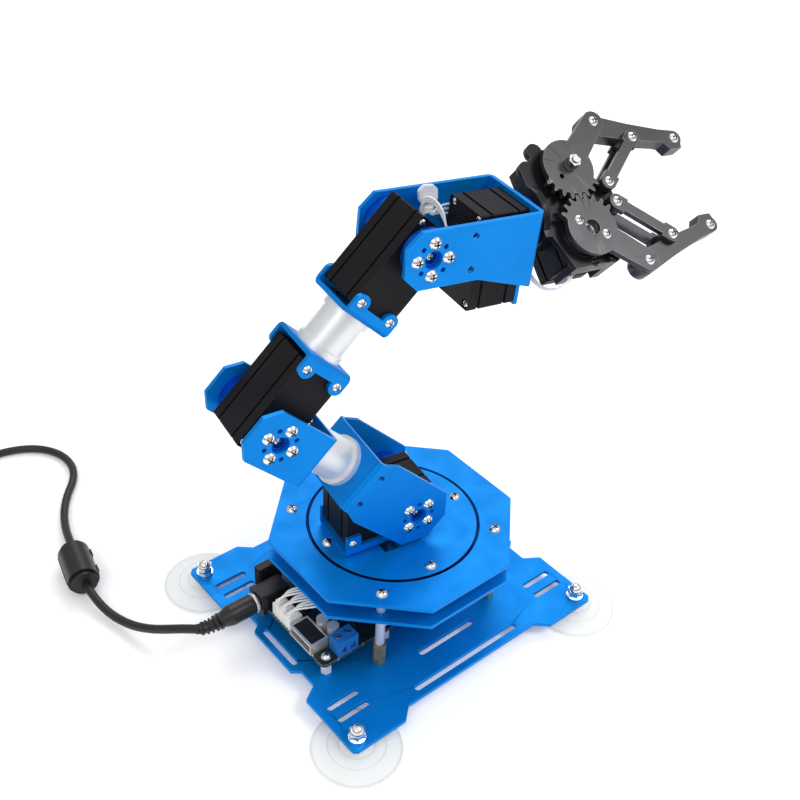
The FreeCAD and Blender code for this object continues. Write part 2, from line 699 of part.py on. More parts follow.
def jaw_points(side):
    """Gear centre, arm pin, fixed link pin and moving link pin of one side."""
    angle = math.radians(JAW_ANGLE)
    centre = (GEAR_FORWARD, side * GEAR_SIDE)
    arm = (centre[0] + JAW_ARM * math.cos(angle), centre[1] + side * JAW_ARM * math.sin(angle))
    fixed = (centre[0] + LINK_FORWARD, centre[1] - side * LINK_INWARD)
    moving = (arm[0] + LINK_FORWARD, arm[1] - side * LINK_INWARD)
    return centre, arm, fixed, moving


def jaw_arm(side):
    centre, arm, _, _ = jaw_points(side)
    plate = gear(side, 0.0 if side > 0 else 0.5)
    plate.translate(Vector(centre[0], centre[1], 0))
    lever = bar(centre, arm, 6.4, 5.3, GEAR_LOW, GEAR_TOP)
    shape = fuse_all([plate, lever])
    bore = PIN + 0.1 if side > 0 else 3.6
    tools = [
        cylinder(PIN + 0.1, (*arm, GEAR_LOW - 1), (0, 0, 1), GEAR_THICK + 2),
        cylinder(bore, (*centre, GEAR_LOW - 1), (0, 0, 1), GEAR_THICK + 2),
    ]
    for x, y in drive_screw_points(side):
        tools.append(cylinder(1.3, (x, y, GEAR_LOW - 1), (0, 0, 1), GEAR_THICK + 2))
    return cut_all(shape, tools)


def finger(side):
    """Finger that stays parallel to the gripper's axis, with a bent tip."""
    _, arm, _, moving = jaw_points(side)
    tip = (arm[0] + TIP_FORWARD, arm[1] - side * TIP_INWARD)
    bend = (moving[0] + 1.5, moving[1] + side * 4.2)
    near = (tip[0] - 9.0, tip[1] + side * 2.4)
    low = FINGER_LOW
    high = FINGER_TOP
    shapes = [
        bar(arm, bend, 5.4, 4.4, low, high),
        bar(bend, near, 4.4, 3.4, low, high),
        bar(near, tip, 3.4, 4.0, low, high),
        bar(bend, moving, 4.4, 3.9, low, high),
    ]
    pad = prism(
        [
            (tip[0] - 8.4, tip[1]), (tip[0] + 3.6, tip[1]),
            (tip[0] + 2.0, tip[1] - side * 5.6), (tip[0] - 5.0, tip[1] - side * 5.6),
        ],
        low, high,
    )
    shapes.append(pad)
    shape = fuse_all(shapes)
    tools = []
    for point in (arm, moving, tip):
        tools.append(cylinder(PIN, (*point, low - 1), (0, 0, 1), high - low + 2))
    return cut_all(shape, tools)


def links(side):
    """Upper and lower bar of one side's parallel link."""
    _, _, fixed, moving = jaw_points(side)
    shapes = []
    for low in (GEAR_LOW, FINGER_LOW - CLEAR - LINK_THICK):
        link = bar(fixed, moving, 3.9, 3.9, low, low + LINK_THICK)
        dx = moving[0] - fixed[0]
        dy = moving[1] - fixed[1]
        length = math.hypot(dx, dy)
        trims = []
        for edge in (-1, 1):
            a = (fixed[0] + dx * 0.16, fixed[1] + dy * 0.16)
            b = (fixed[0] + dx * 0.84, fixed[1] + dy * 0.84)
            nx = -dy / length * edge
            ny = dx / length * edge
            trims.append(prism(
                [
                    (a[0] + nx * 2.6, a[1] + ny * 2.6), (b[0] + nx * 2.6, b[1] + ny * 2.6),
                    (b[0] + nx * 6, b[1] + ny * 6), (a[0] + nx * 6, a[1] + ny * 6),
                ],
                low - 1, low + LINK_THICK + 1,
            ))
        for point in (fixed, moving):
            trims.append(cylinder(PIN + 0.1, (*point, low - 1), (0, 0, 1), LINK_THICK + 2))
        shapes.append(cut_all(link, trims))
    return shapes


def hub_screw_points():
    """Four screws round the roll axis that hold the frame's flange to the hub."""
    reach = HORN_SCREW_RING * math.sqrt(0.5)
    return corners_of(reach, reach)


def gripper_frame():
    """Plate over the gripper servo with a flange for the roll hub and a nose."""
    centre_low, _, fixed_low, _ = jaw_points(-1)
    centre_high, _, fixed_high, _ = jaw_points(1)
    middle = GEAR_FORWARD
    back = FLANGE - 3.4
    plate = prism(
        [
            (FLANGE, -14.0), (middle - 12.5, -31.0), (middle + 12.0, -31.0), (middle + 15.0, -27.0),
            (middle + 14.0, -12.0), (fixed_low[0] - 2.0, fixed_low[1] - 4.4),
            (fixed_high[0] - 2.0, fixed_high[1] + 4.4), (middle + 14.0, 12.0),
            (middle + 11.0, 27.5), (middle - 10.0, 27.5), (FLANGE, 21.0),
        ],
        FRAME_LOW, FRAME_TOP,
    )
    nose = bar(fixed_low, fixed_high, 4.4, 4.4, FRAME_LOW, FRAME_TOP)
    rear = cylinder(14.5, (back, 0, 0), (1, 0, 0), FLANGE - back)
    gussets = [
        box(back, FLANGE, -14.0, 21.0, 0.0, FRAME_TOP),
        box(64.0, 70.6, -14.0, -11.0, -8.0, FRAME_TOP),
        box(64.0, 70.6, 18.0, 21.0, -2.0, FRAME_TOP),
    ]
    posts = []
    for x, y in (fixed_low, fixed_high):
        posts.append(cylinder(3.9, (x, y, FINGER_LOW), (0, 0, 1), FINGER_TOP - FINGER_LOW))
    boss = cylinder(5.0, (*centre_high, FRAME_LOW), (0, 0, 1), FINGER_TOP - FRAME_LOW)
    end_wall = box(middle - 12.5, middle + 12.0, -31.0, -27.6, -9.0, FRAME_TOP)
    lobes = cylinder(4.2, (73.0, 27.0, FRAME_LOW), (0, 0, 1), FRAME_TOP - FRAME_LOW)
    lobes = lobes.fuse(cylinder(4.2, (65.5, 19.0, FRAME_LOW), (0, 0, 1), FRAME_TOP - FRAME_LOW))
    shape = fuse_all([plate, nose, rear, boss, end_wall, lobes] + gussets + posts)
    tools = [
        cylinder(HORN_RADIUS + 0.6, (*centre_low, -1), (0, 0, 1), 14),
        box(middle - 8.0, middle + 7.5, -32.0, -27.0, -10.0, -1.0),
        cylinder(7.75, (middle - 0.25, -32.0, -1.0), (0, 1, 0), 5.0).common(
            box(middle - 9.0, middle + 9.0, -33.0, -26.0, -2.0, 1.6)
        ),
        cylinder(4.0, (60, 0, 0), (1, 0, 0), 6),
        cylinder(PIN, (*centre_high, 0), (0, 0, 1), 14),
    ]
    for x, y in (fixed_low, fixed_high):
        tools.append(cylinder(PIN, (x, y, FINGER_LOW - 1), (0, 0, 1), 14))
    for x in END_WALL_SCREWS:
        tools.append(cylinder(1.3, (x, END_WALL_MIDDLE, FRAME_TOP - 6), (0, 0, 1), 8))
    for y, z in hub_screw_points():
        tools.append(cylinder(1.3, (60, y, z), (1, 0, 0), 6))
        tools.append(cylinder(2.9, (FLANGE, y, z), (1, 0, 0), 2.6))
    return cut_all(shape, tools)


def drive_screw_points(side):
    """The two small holes of a jaw arm's gear, on one line through its centre."""
    centre = jaw_points(side)[0]
    angle = math.radians(side * 37)
    x = DRIVE_SCREW_RING * math.cos(angle)
    y = DRIVE_SCREW_RING * math.sin(angle)
    return [(centre[0] + x, centre[1] + y), (centre[0] - x, centre[1] - y)]


def roll_hub(frame):
    """Hub on the roll servo's shaft, under the gripper's flange."""
    low = ROLL_WEB + CLEAR
    high = FLANGE - 3.4
    tools = []
    for y, z in hub_screw_points():
        tools.append(cylinder(1.2, (low - 1, y, z), (1, 0, 0), 10))
        screw = pan_screw(2.5, 1.15, 6.5, (FLANGE, y, z), (1, 0, 0))
        add("gripper_screws", placed(screw, frame))
    hub = cylinder(ROLL_HUB_RADIUS, (low, 0, 0), (1, 0, 0), high - low)
    add("roll_hub", placed(cut_all(hub, tools), frame))


def jaw_drive(frame):
    """Jaw servo under the frame and the horn that turns the drive arm."""
    centre = jaw_points(-1)[0]
    middle = GEAR_LOW - FORK_IN
    servo_frame = frame * placement((*centre, middle), (0, 1, 0), (0, 0, 1))
    add("gripper_servo", placed(SERVO, servo_frame))
    for screw in servo_screws(sides=(-1,)):
        add("gripper_screws", placed(screw, servo_frame))
    for x in END_WALL_SCREWS:
        screw = pan_screw(2.3, 1.2, 5.0, (x, END_WALL_MIDDLE, FRAME_TOP), (0, 0, 1))
        add("gripper_screws", placed(screw, frame))
    low = middle + HORN_IN
    disc = cylinder(HORN_RADIUS, (*centre, low), (0, 0, 1), GEAR_LOW - low)
    tools = [
        cylinder(2.4, (*centre, GEAR_LOW - 2.4), (0, 0, 1), 4),
        cylinder(1.2, (*centre, low - 1), (0, 0, 1), 6),
    ]
    for x, y in drive_screw_points(-1):
        tools.append(cylinder(1.2, (x, y, GEAR_LOW - 4), (0, 0, 1), 6))
        screw = pan_screw(2.4, 1.15, 5.0, (x, y, GEAR_TOP), (0, 0, 1))
        add("drive_screws", placed(screw, frame))
    centre_screw = pan_screw(2.3, 1.1, 1.8, (*centre, GEAR_LOW - 2.4), (0, 0, 1))
    add("drive_screws", placed(centre_screw, frame))
    add("drive_horn", placed(cut_all(disc, tools), frame))


def idler_bolt(frame):
    """Long bolt that the idler arm turns on, with two lock nuts."""
    centre = jaw_points(1)[0]
    bolt = cylinder(PIN - 0.05, (*centre, FRAME_LOW), (0, 0, 1), GEAR_TOP + 6.2 - FRAME_LOW)
    nuts = hexagon(5.5, (*centre, GEAR_TOP + 0.3), (0, 0, 1), 2.4)
    nuts = nuts.fuse(hexagon(5.5, (*centre, GEAR_TOP + 3.0), (0, 0, 1), 2.4))
    nuts = nuts.fuse(cylinder(2.6, (*centre, GEAR_TOP + 2.0), (0, 0, 1), 1.2))
    add("idler_bolt", placed(bolt.fuse(nuts).removeSplitter(), frame))


def gripper():
    frame = gripper_frame_placement()
    add("gripper_frame", placed(gripper_frame(), frame))
    roll_hub(frame)
    jaw_drive(frame)
    idler_bolt(frame)
    link_low = FINGER_LOW - CLEAR - LINK_THICK
    link_top = GEAR_LOW + LINK_THICK + 0.1
    for side, name in ((-1, "drive"), (1, "idler")):
        _, arm, fixed, moving = jaw_points(side)
        tip = (arm[0] + TIP_FORWARD, arm[1] - side * TIP_INWARD)
        add(name + "_arm", placed(jaw_arm(side), frame))
        add(name + "_finger", placed(finger(side), frame))
        for link in links(side):
            add(name + "_link", placed(link, frame))
        pins = (
            ("_finger_pins", arm, GEAR_TOP + 0.1, GEAR_TOP - FINGER_LOW),
            ("_finger_pins", moving, link_top, link_top - link_low),
            ("_finger_pins", tip, FINGER_TOP, 7.0),
        )
        for node, point, seat, depth in pins:
            pin = pan_screw(2.5, PIN, depth, (*point, seat), (0, 0, 1))
            add(name + node, placed(pin, frame))
        post = pan_screw(2.5, PIN, link_top - link_low, (*fixed, link_top), (0, 0, 1))
        add("gripper_screws", placed(post, frame))


# ---- controller board ---------------------------------------------------------------
BOARD = (-67.0, -20.0, -31.0, 33.0)
BOARD_LOW = 16.7
BOARD_TOP = 18.3
BOARD_HOLES = [(-61.8, -26.2), (-61.8, 28.0), (-25.2, -26.2), (-25.2, 28.0)]


def controller():
    x0, x1, y0, y1 = BOARD
    board = box(x0, x1, y0, y1, BOARD_LOW, BOARD_TOP)
    board = board.makeFillet(3.0, [e for e in board.Edges if e.BoundBox.ZLength > 1])
    holes = []
    for x, y in BOARD_HOLES:
        holes.append(cylinder(1.5, (x, y, BOARD_LOW - 1), (0, 0, 1), 4))
        spacer = hexagon(5.0, (x, y, BASE_TOP), (0, 0, 1), BOARD_LOW - BASE_TOP)
        spacer = spacer.cut(cylinder(1.25, (x, y, BASE_TOP + 1), (0, 0, 1), 12))
        add("brass_standoffs", spacer)
        add("base_screws", pan_screw(2.7, 1.2, 5.0, (x, y, BOARD_TOP), (0, 0, 1)))
    add("controller_board", cut_all(board, holes))
    jack = box(-68.5, -54.5, JACK_Y - 4.9, JACK_Y + 4.9, BOARD_TOP, BOARD_TOP + 10.6)
    collar = box(JACK_FACE, -68.5, JACK_Y - 6.2, JACK_Y + 6.2, JACK_Z - 6.4, JACK_Z + 6.4)
    collar = collar.makeFillet(2.0, [e for e in collar.Edges if e.BoundBox.XLength > 1])
    bore = cylinder(3.2, (JACK_FACE - 1, JACK_Y, JACK_Z), (1, 0, 0), 12.0)
    add("power_jack", fuse_all([jack, collar]).cut(bore))
    for step in range(3):
        y = -2.6 + 5.2 * step
        shell = box(-66.4, -59.2, y, y + 5.0, BOARD_TOP, BOARD_TOP + 7.4)
        pocket = box(-65.4, -60.2, y + 0.8, y + 4.2, BOARD_TOP + 2.0, BOARD_TOP + 9)
        add("servo_headers", shell.cut(pocket))
    usb = box(-67.6, -57.0, -21.6, -4.0, BOARD_TOP, BOARD_TOP + 6.4)
    mouth = box(-68.6, -60.0, -20.6, -5.0, BOARD_TOP + 1.0, BOARD_TOP + 5.4)
    add("usb_socket", usb.cut(mouth))
    block = box(-57.4, -45.6, -31.0, -22.8, BOARD_TOP, BOARD_TOP + 9.4)
    ports = []
    for x in (-54.4, -48.6):
        ports.append(cylinder(1.9, (x, -26.0, BOARD_TOP + 7.4), (0, 0, 1), 3))
        ports.append(box(x - 1.8, x + 1.8, -32, -27, BOARD_TOP + 1.2, BOARD_TOP + 5.4))
    add("screw_terminal", cut_all(block, ports))
    for x, y in ((-53.6, -12.2), (-52.2, -19.0)):
        can = cylinder(3.1, (x, y, BOARD_TOP), (0, 0, 1), 9.4)
        add("capacitors", can)
    pins = box(-63.6, -50.0, 28.4, 32.8, BOARD_TOP + 2.3, BOARD_TOP + 15.4)
    foot = box(-58.6, -51.0, 29.4, 31.8, BOARD_TOP, BOARD_TOP + 3)
    add("pin_block", pins.fuse(foot).removeSplitter())


# ---- power lead ---------------------------------------------------------------------
FLOOR = LEAD / 2
FERRITE_RADIUS = 8.4
COIL_CENTRE = (-166.0, 258.0)
COIL_MID = 26.0                 # radius at the middle of the turns
COIL_TURNS = 6
COIL_HALF = LEAD * 1.06         # half the radial width of two turns side by side
LEAD_ROUTE = [
    (-103.5, 24.8, 20.6),
    (-107.8, 30.2, 19.0),
    (-112.6, 37.2, 15.6),
    (-117.6, 46.8, 10.4),
    (-122.8, 59.8, 5.4),
    (-127.4, 75.6, 4.0),
    (-128.8, 93.0, 7.2),
    (-125.6, 110.4, 8.4),
    (-120.4, 129.6, 6.6),
    (-116.2, 146.6, 2.8),
    (-110.6, 160.6, FLOOR),
    (-102.4, 173.2, FLOOR),
    (-92.2, 184.2, FLOOR),
    (-87.2, 197.3, FLOOR),
    (-88.7, 211.2, FLOOR),
    (-96.3, 222.9, FLOOR),
    (-108.2, 230.3, FLOOR),
    (-122.9, 233.4, FLOOR),
    (-137.0, 233.6, FLOOR),
    (-149.9, 231.9, FLOOR),
]


def lead_wire(points):
    """Straight runs joined by tangent arcs as large as the runs allow."""
    nodes = [Vector(*p) for p in points]
    edges = []
    radii = []
    start = nodes[0]
    for before, here, after in zip(nodes, nodes[1:], nodes[2:]):
        a = here - before
        b = after - here
        turn = a.getAngle(b)
        reach = 0.45 * min(a.Length, b.Length)
        radii.append(reach / math.tan(turn / 2))
        a.normalize()
        b.normalize()
        first = here - a * reach
        last = here + b * reach
        inward = b - a
        inward.normalize()
        depth = radii[-1] * (1 / math.cos(turn / 2) - 1)
        middle = here + inward * depth
        edges.append(Part.LineSegment(start, first).toShape())
        edges.append(Part.Arc(first, middle, last).toShape())
        start = last
    edges.append(Part.LineSegment(start, nodes[-1]).toShape())
    return Part.Wire(edges), radii


def power_plug():
    """Barrel plug in the jack, its grip and its ribbed strain relief."""
    shapes = [
        cylinder(2.9, (JACK_FACE + 9.0, JACK_Y, JACK_Z), (-1, 0, 0), 10.0),
        cylinder(4.9, (JACK_FACE - 0.4, JACK_Y, JACK_Z), (-1, 0, 0), 3.0),
        cylinder(5.4, (JACK_FACE - 3.0, JACK_Y, JACK_Z), (-1, 0, 0), 13.0),
        cone(5.4, 3.6, (JACK_FACE - 16.0, JACK_Y, JACK_Z), (-1, 0, 0), 5.5),
    ]
    steps = 6
    end = Vector(*LEAD_ROUTE[0])
    start = Vector(JACK_FACE - 20.5, JACK_Y, JACK_Z)
    first = Vector(-1, 0, 0)
    last = (Vector(*LEAD_ROUTE[1]) - end).normalize()
    span = (end - start).Length
    points = []
    for k in range(steps + 1):
        t = k / steps
        h00 = 2 * t ** 3 - 3 * t ** 2 + 1
        h10 = t ** 3 - 2 * t ** 2 + t
        h01 = -2 * t ** 3 + 3 * t ** 2
        h11 = t ** 3 - t ** 2
        points.append(start * h00 + first * (span * h10) + end * h01 + last * (span * h11))
    for k in range(steps):
        direction = points[k + 1] - points[k]
        length = direction.Length
        direction.normalize()
        core = 3.1 - 0.1 * k
        shapes.append(Part.makeCylinder(core, length + 0.15, points[k], direction))
        if k < steps - 1:
            rib = 4.4 - 0.25 * k
            at = points[k] + direction * (length * 0.35)
            shapes.append(Part.makeCylinder(rib, 1.1, at, direction))
    plug = fuse_all(shapes)
    trim = Part.makeBox(12, 12, 4, Vector(-6, -6, 0))
    trim.Placement = Placement(end, Rotation(Vector(0, 0, 1), last))
    add("power_plug", plug.cut(trim))


def power_lead():
    wire, radii = lead_wire(LEAD_ROUTE)
    start = Vector(*LEAD_ROUTE[0])
    direction = Vector(*LEAD_ROUTE[1]) - start
    circle = Part.Wire(Part.makeCircle(LEAD / 2, start, direction))
    tube = wire.makePipeShell([circle], True, True)
    tube = Part.Solid(tube) if tube.ShapeType != "Solid" else tube
    expected = math.pi * LEAD ** 2 / 4 * wire.Length
    print("lead length %.1f radii %s" % (wire.Length, [round(r, 1) for r in radii]))
    print("lead volume %.1f of %.1f" % (tube.Volume, expected))
    add("power_lead", tube)
    before, middle, after = (Vector(*LEAD_ROUTE[k]) for k in (6, 7, 8))
    axis = (after - before).normalize()
    length = 28.0
    lip = 2.5
    low = middle - axis * (length / 2)
    bead = Part.makeCylinder(FERRITE_RADIUS - 1.4, length, low, axis)
    barrel = Part.makeCylinder(FERRITE_RADIUS, length - 2 * lip, low + axis * lip, axis)
    add("ferrite_bead", bead.fuse(barrel).cut(tube))
    return tube


def lead_coil(tube):
    """The rest of the lead as one ring, notched where the lead runs in, and its connector."""
    height = 3 * LEAD + 0.4
    ring = Part.makeCylinder(COIL_MID + COIL_HALF, height, Vector(*COIL_CENTRE, 0))
    hole = Part.makeCylinder(COIL_MID - COIL_HALF, height + 1, Vector(*COIL_CENTRE, -0.5))
    ring = ring.cut(hole)
    add("lead_coil", ring.cut(tube))
    print("coil length %.0f" % (2 * math.pi * COIL_MID * COIL_TURNS))
    axis = Vector(math.cos(math.radians(25)), math.sin(math.radians(25)), 0)
    start = Vector(COIL_CENTRE[0] - 1.0, COIL_CENTRE[1] + COIL_MID + COIL_HALF - 0.2, 6.0)
    relief = Part.makeCone(3.0, 4.6, 9.0, start, axis)
    body = Part.makeCylinder(5.6, 29.0, start + axis * 8.8, axis)
    bore = Part.makeCylinder(2.9, 12.0, start + axis * 26.8, axis)
    add("lead_connector", relief.fuse(body).removeSplitter().cut(bore.fuse(ring)))


def main():
    base_plate()
    cups_and_nuts()
    decks()
    pillars()
    slew_bearing()
    base_servo()
    turntable()
    shoulder_mount()
    upper_arm()
    forearm()
    wrist()
    gripper()
    controller()
    power_plug()
    lead_coil(power_lead())
    os.makedirs("parts", exist_ok=True)
    for node, solids in sorted(PARTS.items()):
        shape = solids[0] if len(solids) == 1 else Part.makeCompound(solids)
        if not shape.isValid():
            print("not valid:", node)
        shape.exportStep("parts/" + node + ".step")
    print(len(PARTS), "nodes")


main()
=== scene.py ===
import json
import math

import bmesh
import bpy
from mathutils import Matrix, Vector


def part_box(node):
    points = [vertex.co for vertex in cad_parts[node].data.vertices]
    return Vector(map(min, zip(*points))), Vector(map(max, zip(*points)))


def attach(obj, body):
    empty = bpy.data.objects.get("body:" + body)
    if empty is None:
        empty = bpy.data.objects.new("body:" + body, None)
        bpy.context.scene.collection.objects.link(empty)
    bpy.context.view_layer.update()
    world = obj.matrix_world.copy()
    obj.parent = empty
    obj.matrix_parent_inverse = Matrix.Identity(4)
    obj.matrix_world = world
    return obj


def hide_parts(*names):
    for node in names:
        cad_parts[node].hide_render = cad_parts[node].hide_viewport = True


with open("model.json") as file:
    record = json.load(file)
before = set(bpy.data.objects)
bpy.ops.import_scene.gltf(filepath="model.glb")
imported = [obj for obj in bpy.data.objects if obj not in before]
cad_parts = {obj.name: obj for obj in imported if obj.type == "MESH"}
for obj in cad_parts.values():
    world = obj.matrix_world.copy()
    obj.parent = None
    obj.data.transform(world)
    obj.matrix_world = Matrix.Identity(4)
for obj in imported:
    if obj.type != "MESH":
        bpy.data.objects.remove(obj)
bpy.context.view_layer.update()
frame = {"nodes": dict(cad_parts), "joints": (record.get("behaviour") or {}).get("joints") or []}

# Desktop robot arm: materials and fine detail over the CAD parts.
# The scene is in metres. Sizes are written in millimetres and scaled by MM.
MM = 0.001
MM_PER_METRE = 1000
NODES = frame["nodes"]
JOINTS = {j["name"]: j for j in frame["joints"]}
UP = Vector((0, 0, 1))

# Places from the CAD part, in millimetres
BASE_SERVO_HEIGHT = 29.8        # middle of the yaw servo over the table
ROLL_SERVO_AHEAD = 40.5         # wrist shaft to the middle of the roll servo
JAW_SERVO_DROP = 6.7            # gripper servo's middle under the wrist shaft
NUT_HALF_X = 4.04               # acorn nut, half across its corners
NUT_HALF_Y = 3.5                # acorn nut, half across its flats


# ---- frames of the arm ------------------------------------------------------------
def joint_point(name):
    return Vector(JOINTS[name]["pos_m"])


def joint_axis(name):
    return Vector(JOINTS[name]["axis"]).normalized()


def frame_at(origin, x_axis, y_axis):
    """Matrix with local X and Y along the two directions."""
    x = x_axis.normalized()
    y = y_axis.normalized()
    z = x.cross(y)
    m = Matrix((x, y, z)).transposed().to_4x4()
    m.translation = origin
    return m


SHOULDER = joint_point("shoulder_pitch")
ELBOW = joint_point("elbow_pitch")
WRIST = joint_point("wrist_pitch")
ACROSS = -joint_axis("shoulder_pitch")
AHEAD = ACROSS.cross(UP)
ROLL_AXIS = joint_axis("wrist_roll")
WRIST_UP = ROLL_AXIS.cross(ACROSS)
JAW_UP = -joint_axis("jaw_drive")
JAW_SIDE = JAW_UP.cross(ROLL_AXIS)
UPPER_DIR = (ELBOW - SHOULDER).normalized()
FORE_DIR = (WRIST - ELBOW).normalized()
ROLL_SERVO = WRIST + ROLL_AXIS * ROLL_SERVO_AHEAD * MM
JAW_PIVOT = joint_point("jaw_drive")
JAW_SERVO = JAW_PIVOT - JAW_UP * ((JAW_PIVOT - WRIST).dot(JAW_UP) + JAW_SERVO_DROP * MM)
NUTS_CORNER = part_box("acorn_nuts")[1]
CUP_CENTRE = (NUTS_CORNER.x - NUT_HALF_X * MM, NUTS_CORNER.y - NUT_HALF_Y * MM)
SERVO_FRAMES = {
    "base_servo": frame_at(Vector((0, 0, BASE_SERVO_HEIGHT * MM)), Vector((1, 0, 0)), UP),
    "shoulder_servo": frame_at(SHOULDER, -AHEAD, ACROSS),
    "elbow_servo": frame_at(ELBOW, FORE_DIR, ACROSS),
    "wrist_servo": frame_at(WRIST, -FORE_DIR, ACROSS),
    "roll_servo": frame_at(ROLL_SERVO, -WRIST_UP, ROLL_AXIS),
    "gripper_servo": frame_at(JAW_SERVO, JAW_SIDE, JAW_UP),
}


# ---- node materials ---------------------------------------------------------------
class Finish:
    """A procedural material built up step by step on one Principled shader."""

    NOISE_LOW, NOISE_HIGH = 0.3, 0.7        # the range a noise mostly stays in
    EDGE_DOT = (0.995, 0.9)                 # bevelled against true normal
    MIX_A, MIX_B, MIX_RESULT = 6, 7, 2      # colour sockets of the Mix node

    def __init__(self, name, metallic=0.0, specular=0.5, **sockets):
        self.mat = bpy.data.materials.new(name)
        self.mat.use_nodes = True
        self.tree = self.mat.node_tree
        self.shader = self.tree.nodes["Principled BSDF"]
        self.shader.inputs["Metallic"].default_value = metallic
        self.shader.inputs["Specular IOR Level"].default_value = specular
        for socket, value in sockets.items():
            self.shader.inputs[socket.replace("_", " ")].default_value = value
        self.place = self.node("ShaderNodeTexCoord").outputs["Object"]
        self.height = None

    def node(self, kind, **props):
        made = self.tree.nodes.new(kind)
        for key, value in props.items():
            setattr(made, key, value)
        return made

    def put(self, value, socket):
        if isinstance(value, bpy.types.NodeSocket):
            self.tree.links.new(value, socket)
        else:
            socket.default_value = value

    def noise(self, scale, detail=2.0, roughness=0.5, distortion=0.0, place=None):
        n = self.node("ShaderNodeTexNoise")
        self.put(place or self.place, n.inputs["Vector"])
        n.inputs["Scale"].default_value = scale
        n.inputs["Detail"].default_value = detail
        n.inputs["Roughness"].default_value = roughness
        n.inputs["Distortion"].default_value = distortion
        return n.outputs["Fac"]

    def stretched(self, sx, sy, sz):
        n = self.node("ShaderNodeMapping")
        self.put(self.place, n.inputs["Vector"])
        n.inputs["Scale"].default_value = (sx, sy, sz)
        return n.outputs["Vector"]

    def math(self, operation, a, b=0.0, clamp=False):
        n = self.node("ShaderNodeMath", operation=operation, use_clamp=clamp)
        self.put(a, n.inputs[0])
        self.put(b, n.inputs[1])
        return n.outputs[0]

    def along(self, origin, axis):
        """Distance of a point from the origin along an axis, in millimetres."""
        sub = self.node("ShaderNodeVectorMath", operation="SUBTRACT")
        self.put(self.place, sub.inputs[0])
        sub.inputs[1].default_value = tuple(origin)
        dot = self.node("ShaderNodeVectorMath", operation="DOT_PRODUCT")
        self.put(sub.outputs[0], dot.inputs[0])
        dot.inputs[1].default_value = tuple(axis * MM_PER_METRE)
        return dot.outputs["Value"]

    def spread(self, value, low, high, out_low=0.0, out_high=1.0):
        n = self.node("ShaderNodeMapRange")
        self.put(value, n.inputs["Value"])
        n.inputs["From Min"].default_value = low
        n.inputs["From Max"].default_value = high
        n.inputs["To Min"].default_value = out_low
        n.inputs["To Max"].default_value = out_high
        return n.outputs["Result"]

    def between(self, noise, low=0.0, high=1.0):
        """A noise spread over the range from low to high."""
        return self.spread(noise, self.NOISE_LOW, self.NOISE_HIGH, low, high)

    def line(self, distance, at, half_width):
        """1 on a thin line where the distance is at the given value."""
        off = self.math("ABSOLUTE", self.math("SUBTRACT", distance, at))
        return self.spread(off, half_width, half_width * 0.4)

    def mix(self, factor, a, b):
        n = self.node("ShaderNodeMix", data_type="RGBA")
        self.put(factor, n.inputs[0])
        for value, socket in ((a, n.inputs[self.MIX_A]), (b, n.inputs[self.MIX_B])):
            if isinstance(value, tuple) and len(value) == 3:
                value = (*value, 1.0)
            self.put(value, socket)
        return n.outputs[self.MIX_RESULT]

    def bump(self, height, strength, depth):
        n = self.node("ShaderNodeBump")
        n.inputs["Strength"].default_value = strength
        n.inputs["Distance"].default_value = depth
        self.put(height, n.inputs["Height"])
        if self.height is not None:
            self.put(self.height, n.inputs["Normal"])
        self.height = n.outputs["Normal"]
        self.put(self.height, self.shader.inputs["Normal"])

    def edges(self, radius):
        """1 near sharp edges, 0 on open faces."""
        bevel = self.node("ShaderNodeBevel", samples=4)
        bevel.inputs["Radius"].default_value = radius
        geometry = self.node("ShaderNodeNewGeometry")
        dot = self.node("ShaderNodeVectorMath", operation="DOT_PRODUCT")
        self.put(bevel.outputs["Normal"], dot.inputs[0])
        self.put(geometry.outputs["Normal"], dot.inputs[1])
        return self.spread(dot.outputs["Value"], *self.EDGE_DOT)

    def hollow(self, distance):
        """1 in the open, towards 0 in recesses."""
        n = self.node("ShaderNodeAmbientOcclusion", samples=6, only_local=True)
        n.inputs["Distance"].default_value = distance
        return n.outputs["AO"]

    def colour(self, value):
        if isinstance(value, tuple):
            value = (*value, 1.0)
        self.put(value, self.shader.inputs["Base Color"])

    def rough(self, value):
        self.put(value, self.shader.inputs["Roughness"])


CLOUD_TINT = 0.86
RIM_SOFTNESS = 0.15             # mm
GAP_SHADOW = (0.0, 0.012, 0.05)


def anodised(name, base, edge, metallic, rough=(0.36, 0.5), rim=None, edge_wear_and_highlight=0.55):
    """Bead-blasted and dyed aluminium, paler along its edges from edge wear and a painted edge
    highlight.

    Past the radius rim, in mm round the yaw axis, the surface is in shadow.
    """
    f = Finish(name, metallic=metallic, specular=0.12)
    broad = f.between(f.noise(26, 3))
    body = f.mix(broad, tuple(c * CLOUD_TINT for c in base), base)
    grain = f.noise(5200, 2, 0.6)
    body = f.mix(f.spread(grain, 0.62, 0.9, 0, 0.35), body, edge)
    # edges mixed towards the paler edge colour: edge wear together with a painted edge highlight
    body = f.mix(f.math("MULTIPLY", f.edges(0.4 * MM), edge_wear_and_highlight), body, edge)
    if rim is not None:
        flat = f.node("ShaderNodeVectorMath", operation="LENGTH")
        f.put(f.stretched(1, 1, 0), flat.inputs[0])
        outside = f.spread(flat.outputs["Value"], rim * MM, (rim + RIM_SOFTNESS) * MM)
        body = f.mix(outside, body, GAP_SHADOW)
    f.colour(body)
    f.rough(f.between(f.noise(90, 3), rough[0], rough[1]))
    f.bump(grain, 0.10, 0.05 * MM)
    return f.mat


SERVO_BLACK = (0.0042, 0.0042, 0.0058)
GROOVES = (3.1, -3.1, 0.0)      # lines along the flanks, in mm from the middle
GROOVE_HALF = 0.16
END_SEAM = 24.0                 # parting line near the case's end
END_SEAM_HALF = 0.14


